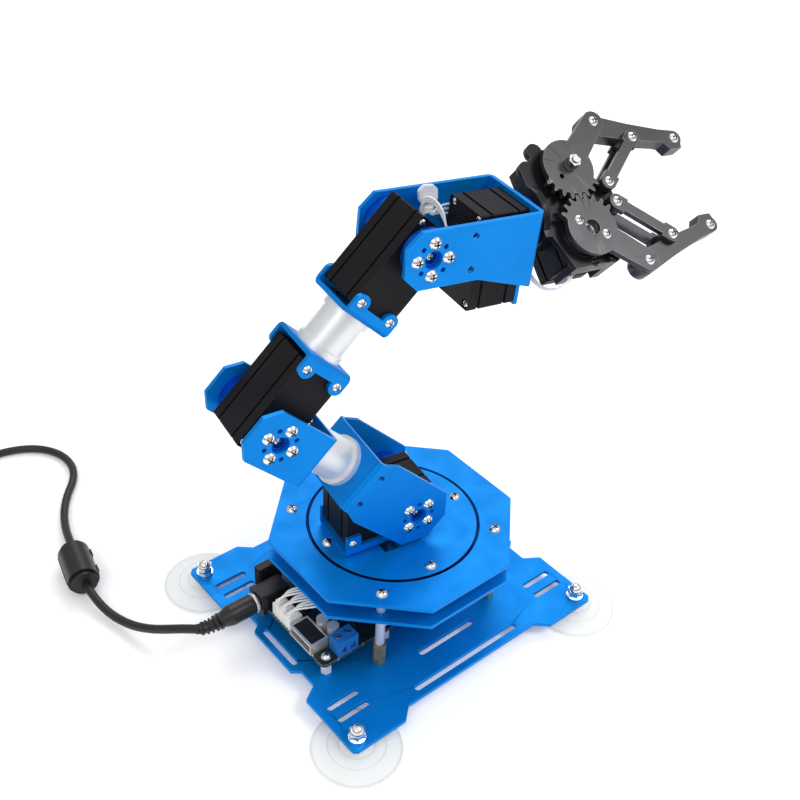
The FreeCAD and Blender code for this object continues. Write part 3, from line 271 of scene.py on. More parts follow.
def servo_plastic(name, home):
    """Moulded black case with fine lines along its flanks and a sparked grain."""
    f = Finish(name, specular=0.14)
    origin = home.translation
    shaft = home.col[1].to_3d()
    run = home.col[0].to_3d()
    across = f.along(origin, shaft)
    lengthwise = f.along(origin, run)
    spark = f.noise(2600, 3, 0.7)
    cloud = f.spread(f.noise(45, 3), 0.35, 0.75)
    lighter = tuple(c * 2.1 + 0.003 for c in SERVO_BLACK)
    body = f.mix(f.math("MULTIPLY", cloud, 0.6), SERVO_BLACK, lighter)
    seams = f.line(across, GROOVES[0], GROOVE_HALF)
    for at in GROOVES[1:]:
        seams = f.math("MAXIMUM", seams, f.line(across, at, GROOVE_HALF))
    body = f.mix(f.math("MULTIPLY", seams, 0.75), body, (0.002, 0.002, 0.002))
    rub = f.math("MULTIPLY", f.edges(0.3 * MM), 0.5)
    f.colour(f.mix(rub, body, (0.05, 0.05, 0.055)))
    f.rough(f.between(spark, 0.42, 0.58))
    dip = f.math("SUBTRACT", 1.0, seams)
    f.bump(dip, 0.6, 0.12 * MM)
    f.bump(spark, 0.18, 0.06 * MM)
    ends = f.line(lengthwise, END_SEAM, END_SEAM_HALF)
    f.bump(f.math("SUBTRACT", 1.0, ends), 0.3, 0.08 * MM)
    return f.mat


# brownish dark for the painted shade in recesses
RECESS_SHADE = (0.10, 0.085, 0.07)
BLACK_OXIDE = (0.035, 0.035, 0.038)


def plated(name, base=(0.86, 0.86, 0.86), rough=0.16, split=None):
    """Bright plated steel, with painted shade darkening its recesses to a brownish tone.

    With a split (origin, axis, height in mm) it is black below that height.
    """
    f = Finish(name, metallic=1.0)
    shade = f.spread(f.noise(900, 3), 0.35, 0.7)
    body = f.mix(shade, tuple(c * 0.86 for c in base), base)
    if split is not None:
        origin, axis, height = split
        above = f.spread(f.along(origin, axis), height, height + 0.2)
        body = f.mix(above, BLACK_OXIDE, body)
    # painted shade: ambient occlusion darkens recesses towards a brownish dark
    open_air = f.spread(f.hollow(1.5 * MM), 0.62, 0.93)
    f.colour(f.mix(open_air, RECESS_SHADE, body))
    f.rough(f.between(f.noise(1500, 2), rough * 0.75, rough * 1.5))
    f.bump(f.noise(1800, 2), 0.08, 0.05 * MM)
    return f.mat


def shell_metal(name):
    """Drawn tin-plated sheet with a faint lengthwise brushing and a painted highlight along its
    edges.
    """
    f = Finish(name, metallic=0.75, specular=0.5)
    brush = f.noise(1.0, 3, 0.6, place=f.stretched(900, 6000, 900))
    cloud = f.between(f.noise(110, 3))
    body = f.mix(cloud, (0.58, 0.58, 0.55), (0.80, 0.79, 0.76))
    # painted highlight: edges mixed towards near-white
    f.colour(f.mix(f.math("MULTIPLY", f.edges(0.2 * MM), 0.6), body, (0.95, 0.95, 0.93)))
    f.rough(f.between(brush, 0.34, 0.5))
    f.bump(brush, 0.12, 0.04 * MM)
    return f.mat


def turned(name, origin, axis, base, rough=0.3, pitch=0.42, metallic=1.0):
    """Lathe-turned metal with fine rings round an axis."""
    f = Finish(name, metallic=metallic)
    distance = f.along(origin, axis)
    combine = f.node("ShaderNodeCombineXYZ")
    f.put(f.math("MULTIPLY", distance, 1.0 / pitch), combine.inputs[0])
    rings = f.noise(1.0, 2, 0.6, place=combine.outputs[0])
    cloud = f.spread(f.noise(60, 2), 0.35, 0.7)
    body = f.mix(rings, tuple(c * 0.88 for c in base), base)
    f.colour(f.mix(f.math("MULTIPLY", cloud, 0.18), body, tuple(c * 0.7 for c in base)))
    f.rough(f.between(rings, rough * 0.8, rough * 1.3))
    f.bump(rings, 0.10, 0.04 * MM)
    return f.mat


CUP_RINGS = ((21.3, 0.5), (13.9, 0.45), (9.0, 0.45))      # radius, half width


def clear_vinyl(name):
    """Milky clear soft vinyl, with the moulding's rings round each cup."""
    f = Finish(name, specular=0.5, IOR=1.4, Alpha=0.42)
    fold = f.node("ShaderNodeVectorMath", operation="ABSOLUTE")
    f.put(f.stretched(1, 1, 0), fold.inputs[0])
    away = f.node("ShaderNodeVectorMath", operation="DISTANCE")
    f.put(fold.outputs[0], away.inputs[0])
    away.inputs[1].default_value = (*CUP_CENTRE, 0)
    radius = f.math("MULTIPLY", away.outputs["Value"], MM_PER_METRE)
    rings = f.line(radius, *CUP_RINGS[0])
    for at, half_width in CUP_RINGS[1:]:
        rings = f.math("MAXIMUM", rings, f.line(radius, at, half_width))
    haze = f.between(f.noise(55, 2))
    body = f.mix(haze, (0.93, 0.955, 0.94), (0.985, 0.99, 0.985))
    f.colour(f.mix(f.math("MULTIPLY", rings, 0.6), body, (0.60, 0.64, 0.63)))
    f.rough(f.between(f.noise(300, 2), 0.16, 0.26))
    f.bump(rings, 0.35, 0.3 * MM)
    f.bump(f.noise(90, 2), 0.15, 0.4 * MM)
    return f.mat


def moulded(name, base, rough, specular, grain=3200, subsurface=0.0, depth=0.05):
    """Plain injection-moulded plastic with a fine sparked texture."""
    f = Finish(name, specular=specular, Subsurface_Weight=subsurface)
    f.shader.inputs["Subsurface Radius"].default_value = (0.0012, 0.0012, 0.0012)
    cloud = f.between(f.noise(70, 3))
    spark = f.noise(grain, 2, 0.6)
    body = f.mix(cloud, tuple(c * 0.92 for c in base), base)
    pale = tuple(min(1.0, c * 1.5 + 0.02) for c in base)
    f.colour(f.mix(f.math("MULTIPLY", f.edges(0.2 * MM), 0.4), body, pale))
    f.rough(f.between(spark, rough * 0.85, rough * 1.2))
    f.bump(spark, 0.15, depth * MM)
    return f.mat


def rubber(name, base=(0.010, 0.010, 0.011), rough=0.42):
    """Soft extruded jacket: satin, with a faint orange peel."""
    f = Finish(name, specular=0.42)
    peel = f.noise(700, 3, 0.5)
    dust = f.spread(f.noise(130, 4), 0.5, 0.8)
    f.colour(f.mix(f.math("MULTIPLY", dust, 0.5), base, tuple(c * 2.6 for c in base)))
    f.rough(f.between(peel, rough * 0.8, rough * 1.25))
    f.bump(peel, 0.25, 0.12 * MM)
    return f.mat


def circuit_board(name):
    """Black solder mask over copper tracks, with pale vias and bare edges."""
    f = Finish(name, specular=0.45)
    bricks = f.node("ShaderNodeTexBrick", offset=0.37, squash=0.6, squash_frequency=3)
    f.put(f.stretched(1, 1, 0), bricks.inputs["Vector"])
    bricks.inputs["Scale"].default_value = 260
    bricks.inputs["Mortar Size"].default_value = 0.018
    tracks = bricks.outputs["Fac"]
    dots = f.node("ShaderNodeTexVoronoi")
    f.put(f.stretched(1, 1, 0), dots.inputs["Vector"])
    dots.inputs["Scale"].default_value = 240
    vias = f.spread(dots.outputs["Distance"], 0.13, 0.09)
    mask = f.mix(tracks, (0.006, 0.010, 0.012), (0.014, 0.024, 0.026))
    body = f.mix(f.math("MULTIPLY", vias, 0.8), mask, (0.45, 0.43, 0.36))
    f.colour(f.mix(f.edges(0.5 * MM), body, (0.30, 0.31, 0.27)))
    f.rough(f.spread(tracks, 0, 1, 0.34, 0.44))
    f.bump(tracks, 0.3, 0.05 * MM)
    return f.mat


PILLAR_Y = 32.0                 # spacers past this, in mm, are deck pillars


def mixed_spacers(name):
    """Brass for the deck pillars, white nylon for the board's own spacers."""
    f = Finish(name, specular=0.5)
    split = f.node("ShaderNodeSeparateXYZ")
    f.put(f.place, split.inputs[0])
    wide = f.math("ABSOLUTE", split.outputs["Y"])
    brass = f.spread(wide, PILLAR_Y * MM, (PILLAR_Y + 0.2) * MM)
    cloud = f.between(f.noise(300, 3))
    metal = f.mix(cloud, (0.20, 0.145, 0.055), (0.42, 0.31, 0.13))
    nylon = f.mix(cloud, (0.70, 0.71, 0.69), (0.84, 0.85, 0.83))
    f.colour(f.mix(brass, nylon, metal))
    f.put(f.math("MULTIPLY", brass, 0.5), f.shader.inputs["Metallic"])
    f.rough(f.between(f.noise(1400, 2), 0.28, 0.42))
    f.bump(f.noise(1800, 2), 0.1, 0.05 * MM)
    return f.mat


def paper_floor():
    """Seamless white studio sweep."""
    f = Finish("studio_floor", specular=0.1)
    fibre = f.noise(900, 3)
    f.colour(f.mix(fibre, (0.93, 0.93, 0.93), (0.97, 0.97, 0.97)))
    f.rough(f.between(fibre, 0.75, 0.9))
    f.shader.inputs["Emission Color"].default_value = (1, 1, 1, 1)
    f.shader.inputs["Emission Strength"].default_value = 0.16
    return f.mat


# ---- the finishes -----------------------------------------------------------------
JAW_SCREW_HEADS = 13.0          # mm over the wrist shaft
CAPACITOR_AXIS = Vector((-0.0536, -0.0122, 0))
TUBE_SILVER = (0.86, 0.87, 0.88)
DISC_RIM = 42.7                 # mm, where the turntable's edge rounds over; past it the disc is painted in shadow
BLUE = (0.0, 0.232, 0.73)
BLUE_EDGE = (0.01, 0.36, 0.86)
blue = anodised("blue_anodised", BLUE, BLUE_EDGE, 0.45)
blue_disc = anodised("blue_disc_finish", BLUE, BLUE_EDGE, 0.45, rim=DISC_RIM)
blue_horn = anodised("blue_horn_finish", (0.0, 0.085, 0.50), (0.01, 0.2, 0.8), 0.6)
grey = anodised(
    "grey_anodised", (0.076, 0.073, 0.077), (0.30, 0.29, 0.30), 0.75, (0.28, 0.40), edge_wear_and_highlight=0.9
)
frame_grey = anodised(
    "frame_anodised", (0.022, 0.021, 0.024), (0.14, 0.135, 0.14), 0.6, (0.28, 0.4), edge_wear_and_highlight=0.85
)
jaw_screws = plated("jaw_screw_finish", split=(WRIST, JAW_UP, JAW_SCREW_HEADS))
chrome = plated("bright_screws")
steel = plated("ground_steel", (0.62, 0.63, 0.65), 0.28)
nickel = shell_metal("nickel_shell")
silver = turned(
    "silver_sleeves", Vector((0, 0, 0)), UP, (0.80, 0.81, 0.82), 0.34, metallic=0.5
)
horn_metal = turned("horn_aluminium", JAW_SERVO, JAW_UP, (0.66, 0.67, 0.69), 0.28)
upper_tube = turned(
    "upper_tube_finish", SHOULDER, UPPER_DIR, TUBE_SILVER, 0.36, metallic=0.6
)
fore_tube = turned("forearm_tube_finish", ELBOW, FORE_DIR, TUBE_SILVER, 0.36, metallic=0.6)
vinyl = clear_vinyl("cup_vinyl")
black = moulded("black_moulding", (0.012, 0.012, 0.013), 0.42, 0.3)
white = moulded("white_moulding", (0.94, 0.94, 0.91), 0.4, 0.4, subsurface=0.1)
terminal_blue = moulded("terminal_moulding", (0.01, 0.16, 0.52), 0.35, 0.5)
can_metal = turned(
    "capacitor_can", CAPACITOR_AXIS, UP, (0.7, 0.71, 0.73), 0.3, pitch=3.0, metallic=0.5
)
jacket = rubber("lead_jacket_finish")
plug_rubber = rubber("plug_moulding", (0.012, 0.012, 0.013), 0.36)
ferrite = moulded("ferrite_shell", (0.011, 0.011, 0.012), 0.34, 0.4, 1500)
board = circuit_board("board_mask")
spacers = mixed_spacers("spacer_finish")
hub_metal = turned("roll_hub_finish", WRIST, ROLL_AXIS, (0.0, 0.12, 0.5), 0.34, 0.5, 0.6)

FINISH = {
    "base_plate": blue, "lower_deck": blue, "upper_deck": blue, "turntable_disc": blue_disc,
    "shoulder_bracket": blue, "shoulder_fork": blue, "elbow_fork": blue,
    "elbow_bracket": blue, "wrist_bracket": blue, "roll_bracket": blue,
    "upper_arm_horns": blue_horn, "wrist_horns": blue_horn, "roll_hub": hub_metal,
    "base_hub": steel, "slew_bearing": steel, "slew_ring": steel,
    "pillar_sleeves": silver, "brass_standoffs": spacers,
    "upper_tube": upper_tube, "forearm_tube": fore_tube,
    "acorn_nuts": chrome, "cup_washers": chrome, "base_screws": chrome,
    "disc_screws": chrome, "turntable_screws": chrome, "upper_arm_screws": chrome,
    "forearm_screws": chrome, "wrist_screws": chrome, "drive_screws": chrome,
    "idler_bolt": chrome, "drive_finger_pins": chrome, "idler_finger_pins": chrome,
    "gripper_screws": jaw_screws, "drive_horn": horn_metal,
    "gripper_frame": frame_grey, "drive_arm": grey, "idler_arm": grey,
    "drive_finger": grey, "idler_finger": grey, "drive_link": grey, "idler_link": grey,
    "suction_cups": vinyl, "controller_board": board, "power_jack": black,
    "servo_headers": white, "usb_socket": nickel, "screw_terminal": terminal_blue,
    "capacitors": can_metal, "pin_block": black, "power_plug": plug_rubber,
    "ferrite_bead": ferrite, "lead_connector": plug_rubber,
}
for servo, home in SERVO_FRAMES.items():
    FINISH[servo] = servo_plastic(servo + "_case", home)
for name, material in FINISH.items():
    for place in NODES[name].material_slots:
        place.material = material


# ---- edges ------------------------------------------------------------------------
EDGE_WIDTH = 0.25               # mm
EDGE_ANGLE = 40.0               # degrees; flatter edges stay as they are
WELD_GAP = 0.000002
SOFTENED = (
    "drive_arm", "idler_arm", "drive_finger", "idler_finger", "drive_link", "idler_link",
    "gripper_frame", "base_plate", "upper_deck", "lower_deck",
)


def soften(name):
    """A small rounded edge on a sheet part, as its blasted edge has."""
    part = NODES[name]
    weld = part.modifiers.new("weld", "WELD")
    weld.merge_threshold = WELD_GAP
    bevel = part.modifiers.new("edge", "BEVEL")
    bevel.width = EDGE_WIDTH * MM
    bevel.segments = 2
    bevel.limit_method = "ANGLE"
    bevel.angle_limit = math.radians(EDGE_ANGLE)
    bevel.harden_normals = True
    bevel.use_clamp_overlap = True


# ---- mesh helpers -----------------------------------------------------------------
def mesh_piece(name, build, materials, home, body, smooth=False):
    """A mesh object made by build(bm), in mm in its home frame, riding on a body."""
    mesh = bpy.data.meshes.new(name)
    bm = bmesh.new()
    build(bm)
    bmesh.ops.recalc_face_normals(bm, faces=bm.faces[:])
    if smooth:
        for face in bm.faces:
            face.smooth = True
    bm.to_mesh(mesh)
    bm.free()
    mesh.transform((home or Matrix.Identity(4)) @ Matrix.Scale(MM, 4))
    for material in materials:
        mesh.materials.append(material)
    piece = bpy.data.objects.new(name, mesh)
    bpy.context.scene.collection.objects.link(piece)
    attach(piece, body)
    return piece


def add_block(bm, low, high, bevel=0.0, index=0):
    """A box between two corners, with its edges bevelled."""
    made = bmesh.ops.create_cube(bm, size=1.0)["verts"]
    low = Vector(low)
    high = Vector(high)
    size = high - low
    middle = (low + high) / 2
    for v in made:
        v.co = Vector((v.co.x * size.x, v.co.y * size.y, v.co.z * size.z)) + middle
    faces = list({f for v in made for f in v.link_faces})
    for f in faces:
        f.material_index = index
    if bevel:
        edges = list({e for v in made for e in v.link_edges})
        cut = bmesh.ops.bevel(
            bm, geom=edges, offset=bevel, segments=2, profile=0.5, affect="EDGES"
        )
        for f in cut["faces"]:
            f.material_index = index


def add_turning(bm, profile, home, steps=24, index=0):
    """A closed shape turned round local X from (along, radius) pairs."""
    rings = []
    for along, radius in profile:
        ring = []
        for k in range(steps):
            angle = 2 * math.pi * k / steps
            local = Vector((along, radius * math.cos(angle), radius * math.sin(angle)))
            ring.append(bm.verts.new(home @ local))
        rings.append(ring)
    for a, b in zip(rings, rings[1:]):
        for k in range(steps):
            face = bm.faces.new((a[k], a[(k + 1) % steps], b[(k + 1) % steps], b[k]))
            face.material_index = index
            face.smooth = True
    for ring in (rings[0], rings[-1]):
        face = bm.faces.new(ring)
        face.material_index = index


def in_metres(route):
    return [tuple(c * MM for c in point) for point in route]


def tubes(name, routes, radius, material, around, along):
    """Round tubes as one curve object, an open NURBS spline for each route.

    Around and along are the resolution of the section and between points.
    """
    data = bpy.data.curves.new(name, "CURVE")
    data.dimensions = "3D"
    data.bevel_depth = radius * MM
    data.bevel_resolution = around
    data.resolution_u = along
    data.use_fill_caps = True
    for route in routes:
        spline = data.splines.new("NURBS")
        spline.points.add(len(route) - 1)
        for point, co in zip(spline.points, route):
            point.co = (*co, 1.0)
        spline.order_u = 3
        spline.use_endpoint_u = True
    data.materials.append(material)
    piece = bpy.data.objects.new(name, data)
    bpy.context.scene.collection.objects.link(piece)
    return piece


def wires(name, routes, radius, material, body):
    """Thin insulated wires that ride on one body."""
    piece = tubes(name, routes, radius, material, 3, 10)
    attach(piece, body)


# ---- power lead -------------------------------------------------------------------
LEAD = 4.6                      # diameter of the lead, mm
LEAD_ROUTE = [
    (-103.5, 24.8, 20.6), (-107.8, 30.2, 19.0), (-112.6, 37.2, 15.6),
    (-117.6, 46.8, 10.4), (-122.8, 59.8, 5.4), (-127.4, 75.6, 4.0),
    (-128.8, 93.0, 7.2), (-125.6, 110.4, 8.4), (-120.4, 129.6, 6.6),
    (-116.2, 146.6, 2.8), (-110.6, 160.6, 2.3), (-102.4, 173.2, 2.3),
    (-92.2, 184.2, 2.3), (-87.2, 197.3, 2.3), (-88.7, 211.2, 2.3),
    (-96.3, 222.9, 2.3), (-108.2, 230.3, 2.3), (-122.9, 233.4, 2.3),
    (-137.0, 233.6, 2.3), (-149.9, 231.9, 2.3),
]
COIL_CENTRE = (-166.0, 258.0)
COIL_START = 280.0              # angle round the coil where the lead runs in
COIL_TRAVEL = 1965.0            # degrees of winding, clockwise from above
COIL_CELLS = [                  # radius and height of each turn, in winding order
    (28.5, 2.3), (23.6, 2.3), (23.6, 6.95), (23.6, 11.6), (28.5, 11.6), (28.5, 6.95),
]
CELL_CHANGE = 46.0              # degrees over which a turn moves to its next cell
COIL_STEPS = 24                 # route points to a turn
POLE_GROWTH = 0.998             # keeps the curve on its radius between poles
TIE_ANGLE = 205.0               # where the strap sits on the coil, degrees
TIE_STEPS = 40
TIE_MIDDLE = Vector((26.05, 0, 7.25))
TIE_HALF_WIDTH = 5.472
TIE_HALF_HEIGHT = 6.45
TIE_ROWS = ((-3.4, 1.0), (-3.1, 1.12), (3.1, 1.12), (3.4, 1.0))    # across, swell
TIE_LINING = 0.94
CONNECTOR_END = [(-172.6, 286.3, 6.4), (-167.0, 288.7, 6.0), (-164.2, 290.0, 6.0)]


def coil_cell(travel):
    """Radius and height of the winding after some degrees of travel."""
    share = COIL_TRAVEL / len(COIL_CELLS)
    turn = min(int(travel // share), len(COIL_CELLS) - 1)
    radius, height = COIL_CELLS[turn]
    left = share * (turn + 1) - travel
    if left < CELL_CHANGE and turn < len(COIL_CELLS) - 1:
        t = 1 - left / CELL_CHANGE
        t = t * t * (3 - 2 * t)
        after = COIL_CELLS[turn + 1]
        radius += (after[0] - radius) * t
        height += (after[1] - height) * t
    return radius, height


def lead_points():
    """The whole route: across the table, round the coil and into the connector."""
    points = list(LEAD_ROUTE)
    step = 360.0 / COIL_STEPS
    grow = 1 / math.cos(math.radians(step / 2)) * POLE_GROWTH
    for k in range(1, round(COIL_TRAVEL / step)):
        travel = k * step
        radius, height = coil_cell(travel)
        angle = math.radians(COIL_START - travel)
        points.append((
            COIL_CENTRE[0] + radius * grow * math.cos(angle),
            COIL_CENTRE[1] + radius * grow * math.sin(angle),
            height,
        ))
    return points + CONNECTOR_END


def power_lead():
    piece = tubes("supply_lead", [in_metres(lead_points())], LEAD / 2, jacket, 5, 6)
    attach(piece, "base")
    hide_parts("power_lead", "lead_coil")
    return piece


def centre_line_length(curve):
    """Length of a curve object's centre line, in metres."""
    bare = curve.copy()
    bare.data = curve.data.copy()
    bare.data.bevel_depth = 0
    mesh = bpy.data.meshes.new_from_object(bare)
    ends = [[mesh.vertices[v].co for v in edge.vertices] for edge in mesh.edges]
    length = sum((a - b).length for a, b in ends)
    bpy.data.objects.remove(bare)
    bpy.data.meshes.remove(mesh)
    return length


def tie_band(bm):
    """Hook-and-loop strap round the coil's section."""
    outline = []
    for k in range(TIE_STEPS):
        angle = 2 * math.pi * k / TIE_STEPS
        c = math.cos(angle)
        s = math.sin(angle)
        x = TIE_HALF_WIDTH * math.copysign(abs(c) ** 0.5, c)
        z = TIE_HALF_HEIGHT * math.copysign(abs(s) ** 0.5, s)
        outline.append(Vector((x, 0, z)))
    sections = TIE_ROWS + ((3.4, TIE_LINING), (-3.4, TIE_LINING))
    loops = []
    for side, swell in sections:
        shift = TIE_MIDDLE + Vector((0, side, 0))
        loops.append([bm.verts.new(shift + p * swell) for p in outline])
    loops.append(loops[0])
    for a, b in zip(loops, loops[1:]):
        for k in range(TIE_STEPS):
            after = (k + 1) % TIE_STEPS
            bm.faces.new((a[k], a[after], b[after], b[k]))


lead = power_lead()
coil_middle = Matrix.Translation(Vector((*COIL_CENTRE, 0)) * MM)
coil_home = coil_middle @ Matrix.Rotation(math.radians(TIE_ANGLE), 4, "Z")
strap = moulded("strap_loop_pile", (0.014, 0.014, 0.015), 0.8, 0.2, 1900, depth=0.4)
tie = mesh_piece("coil_tie", tie_band, [strap], coil_home, "base", smooth=True)
round(centre_line_length(lead), 3)


# ---- fine detail on the board -----------------------------------------------------
BOARD_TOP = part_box("controller_board")[1].z / MM
tin = plated("tinned_pads", (0.78, 0.78, 0.76), 0.3)
wire_white = moulded("wire_jacket", (0.95, 0.95, 0.94), 0.38, 0.4, 2400, 0.1)
SOCKETS = 3
FIRST_SOCKET_Y = -2.6
SOCKET_PITCH = 5.2
PINS = 3
PIN_PITCH = 1.5
WIRE_RADIUS = 0.55
JAW_WIRE_RADIUS = 0.6
PADS = 16                       # bare pads along the board's edge


LEG_HALF = 0.16
LEG_HEIGHT = 0.3
LEG_REACH = 1.0
LEG_SPAN = 0.86                 # share of a side that the legs take up


def chip_legs(bm, place, along, across, legs, turned_over):
    """Gull-wing legs on two opposite sides; along and across are half sizes."""
    z = BOARD_TOP
    pitch = 2 * along * LEG_SPAN / max(legs - 1, 1)
    x, y = place[::-1] if turned_over else place
    for k in range(legs):
        at = y - along * LEG_SPAN + k * pitch
        for side in (-1, 1):
            a = x + side * across
            b = x + side * (across + LEG_REACH)
            low = (min(a, b), at - LEG_HALF, z)
            high = (max(a, b), at + LEG_HALF, z + LEG_HEIGHT)
            if turned_over:
                low = (low[1], low[0], low[2])
                high = (high[1], high[0], high[2])
            add_block(bm, low, high, 0.04, 1)


def legged_chip(bm, x, y, half_x, half_y, height, legs, four_sided=False):
    """A chip body with a row of legs on two or four of its sides."""
    z = BOARD_TOP
    low = (x - half_x, y - half_y, z + 0.15)
    high = (x + half_x, y + half_y, z + height)
    add_block(bm, low, high, 0.12)
    chip_legs(bm, (x, y), half_y, half_x, legs, False)
    if four_sided:
        chip_legs(bm, (x, y), half_x, half_y, legs, True)


def socket_y(k):
    """Where the k-th servo socket starts along the board."""
    return FIRST_SOCKET_Y + SOCKET_PITCH * k


def board_parts(bm):
    """Chips, a crystal, small passives with their end caps, and bare pads."""
    z = BOARD_TOP
    legged_chip(bm, -38.0, 5.0, 5.0, 5.0, 1.5, 12, four_sided=True)
    legged_chip(bm, -51.6, 6.0, 1.9, 3.6, 1.6, 6)
    legged_chip(bm, -34.5, -17.0, 3.2, 1.8, 1.7, 3)
    legged_chip(bm, -44.0, 22.0, 1.9, 4.4, 1.6, 8)
    add_block(bm, (-45.0, -10.8, z), (-34.6, -7.4, z + 3.2), 1.2, 1)
    for row, x in enumerate((-56.4, -47.4, -44.6)):
        for k in range(6):
            y = -7.0 + 3.1 * k + 0.7 * row
            add_block(bm, (x, y, z), (x + 0.8, y + 1.6, z + 0.5), 0.06)
            for cap in (y - 0.15, y + 1.35):
                add_block(bm, (x - 0.02, cap, z), (x + 0.82, cap + 0.4, z + 0.53), 0.05, 1)
    for k in range(PADS):
        y = -22.6 + 2.3 * k
        add_block(bm, (-66.95, y, z - 0.02), (-66.5, y + 1.1, z + 0.12), 0.03, 1)
    for k in range(SOCKETS):
        for pin in range(4):
            y = socket_y(k) + 1.0 + pin
            add_block(bm, (-58.9, y - 0.2, z), (-58.2, y + 0.2, z + 0.35), 0.05, 1)


mesh_piece("board_parts", board_parts, [black, tin], None, "base")


def plug_bodies(bm):
    """White crimp housings in the three sockets, keyed along one side."""
    z = BOARD_TOP
    for k in range(SOCKETS):
        y = socket_y(k)
        add_block(bm, (-65.2, y + 1.0, z + 2.3), (-60.4, y + 4.0, z + 9.6), 0.2)
        add_block(bm, (-66.0, y + 1.7, z + 7.5), (-64.9, y + 3.3, z + 9.0), 0.15)
        for pin in range(PINS):
            x = -64.4 + PIN_PITCH * pin
            add_block(bm, (x - 0.45, y + 3.8, z + 8.0), (x + 0.45, y + 4.2, z + 9.4), 0.08)


mesh_piece("servo_plugs", plug_bodies, [white], None, "base")


def board_wire(k, pin):
    """From a plug over the board and in under the deck."""
    x = -64.3 + PIN_PITCH * pin
    y = socket_y(k) + 2.5
    z = BOARD_TOP + 9.4
    drift = y + (0.9 * pin - 0.9)
    lift = 1.0 * k + 0.7 * pin
    end_y = -6.0 + 2.4 * k + 0.9 * pin
    return [
        (x, y, z),
        (x + 0.3, y - 0.3, z + 1.6 + 0.3 * pin),
        (x + 3.2, drift - 1.4, z + 3.0 + 0.4 * lift),
        (x + 9.0, drift - 5.0, z + 3.6 + 0.7 * lift),
        (x + 17.0, drift - 9.4, z + 3.9 + 0.8 * lift),
        (x + 30.0, drift - 10.0, z + 3.8 + 0.6 * lift),
        (-15.0, end_y, 33.0),
        (-11.6, end_y, 31.5),
    ]


board_wires = [in_metres(board_wire(k, pin)) for k in range(SOCKETS) for pin in range(PINS)]
wires("board_wiring", board_wires, WIRE_RADIUS, wire_white, "base")


def socket_inside(bm):
    """Black insert in the shell's open top and the tongue in its mouth."""
    low, high = (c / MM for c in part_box("usb_socket"))
    z = high.z
    corner = (high.x - 0.9, high.y - 1.1, z + 0.06)
    add_block(bm, (low.x + 1.3, low.y + 1.1, z - 0.1), corner, 0.05)
    for k in range(4):
        y = low.y + 3.2 + 3.2 * k
        add_block(bm, (low.x + 3.0, y, z), (high.x - 3.4, y + 1.5, z + 0.3), 0.08)
    add_block(bm, (low.x + 1.1, low.y + 2.6, z - 3.6), (low.x + 7.5, high.y - 2.6, z - 2.6), 0.1)


mesh_piece("socket_insert", socket_inside, [black], None, "base")


TERMINAL_X = (-54.4, -48.6)
TERMINAL_Y = -26.0
SCREW_HEAD = [(0.05, 1.7), (1.0, 1.7), (1.35, 1.35), (1.4, 0.6)]


def terminal_screws(bm):
    """Slotted clamp screws on top and the wire entries in front."""
    z = BOARD_TOP
    for x in TERMINAL_X:
        home = frame_at(Vector((x, TERMINAL_Y, z + 7.4)), UP, Vector((1, 0, 0)))
        add_turning(bm, SCREW_HEAD, home)
        slot_end = (x + 1.35, TERMINAL_Y + 0.25, z + 8.86)
        add_block(bm, (x - 1.35, TERMINAL_Y - 0.25, z + 8.7), slot_end, 0.03, 1)
        add_block(bm, (x - 1.4, -29.4, z + 1.4), (x + 1.4, -28.6, z + 4.6), 0.2)


mesh_piece("terminal_clamps", terminal_screws, [tin, black], None, "base")


def block_ribs(bm):
    """Ribs on the front, top and one end of the pin block."""
    low, high = (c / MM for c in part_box("pin_block"))
    foot = low.z + 3.2
    brim = high.z - 0.4
    for k in range(7):
        x = low.x + 0.9 + 1.8 * k
        add_block(bm, (x, low.y - 0.45, foot), (x + 0.9, low.y + 0.2, brim), 0.15)
        add_block(bm, (x, low.y + 0.2, brim), (x + 0.9, high.y - 0.2, high.z + 0.12), 0.1)
    for k in range(3):
        y = low.y + 0.4 + 1.4 * k
        add_block(bm, (low.x - 0.4, y, foot), (low.x + 0.2, y + 0.7, brim), 0.15)


mesh_piece("pin_block_ribs", block_ribs, [black], None, "base")


def plug_sleeve(bm):
    """Plated sleeve that shows between the plug's grip and the jack."""
    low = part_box("power_jack")[0] / MM
    middle = Vector((low.x - 0.5, 20.4, 23.0))
    home = frame_at(middle, Vector((-1, 0, 0)), Vector((0, 1, 0)))
    add_turning(bm, [(0, 5.0), (0.1, 5.25), (1.9, 5.25), (2.0, 5.0)], home, 40)


mesh_piece("plug_sleeve", plug_sleeve, [nickel], None, "base")

bead_axis = (Vector(LEAD_ROUTE[8]) - Vector(LEAD_ROUTE[6])).normalized()
bead_side = UP.cross(bead_axis).normalized()
bead_home = frame_at(Vector(LEAD_ROUTE[7]) * MM, bead_axis, bead_side)


def bead_catches(bm):
    """Two snap catches and the hinge rib of the split ferrite shell."""
    for x in (-6.5, 6.5):
        add_block(bm, (x - 1.8, -9.0, -2.6), (x + 1.8, -7.6, 2.6), 0.3)
        add_block(bm, (x - 1.2, -9.3, -0.8), (x + 1.2, -8.6, 0.8), 0.2)
    add_block(bm, (-10.8, 8.0, -0.5), (10.8, 8.75, 0.5), 0.2)
    add_block(bm, (-11.3, -8.55, -0.12), (11.3, -8.1, 0.12), 0.04)


mesh_piece("bead_catches", bead_catches, [ferrite], bead_home, "base")


# ---- wiring of the wrist ----------------------------------------------------------
WRIST_HOME = frame_at(WRIST, ROLL_AXIS, ACROSS)
milky = moulded("milky_nylon", (0.88, 0.92, 0.97), 0.3, 0.5, 1500, 0.3)


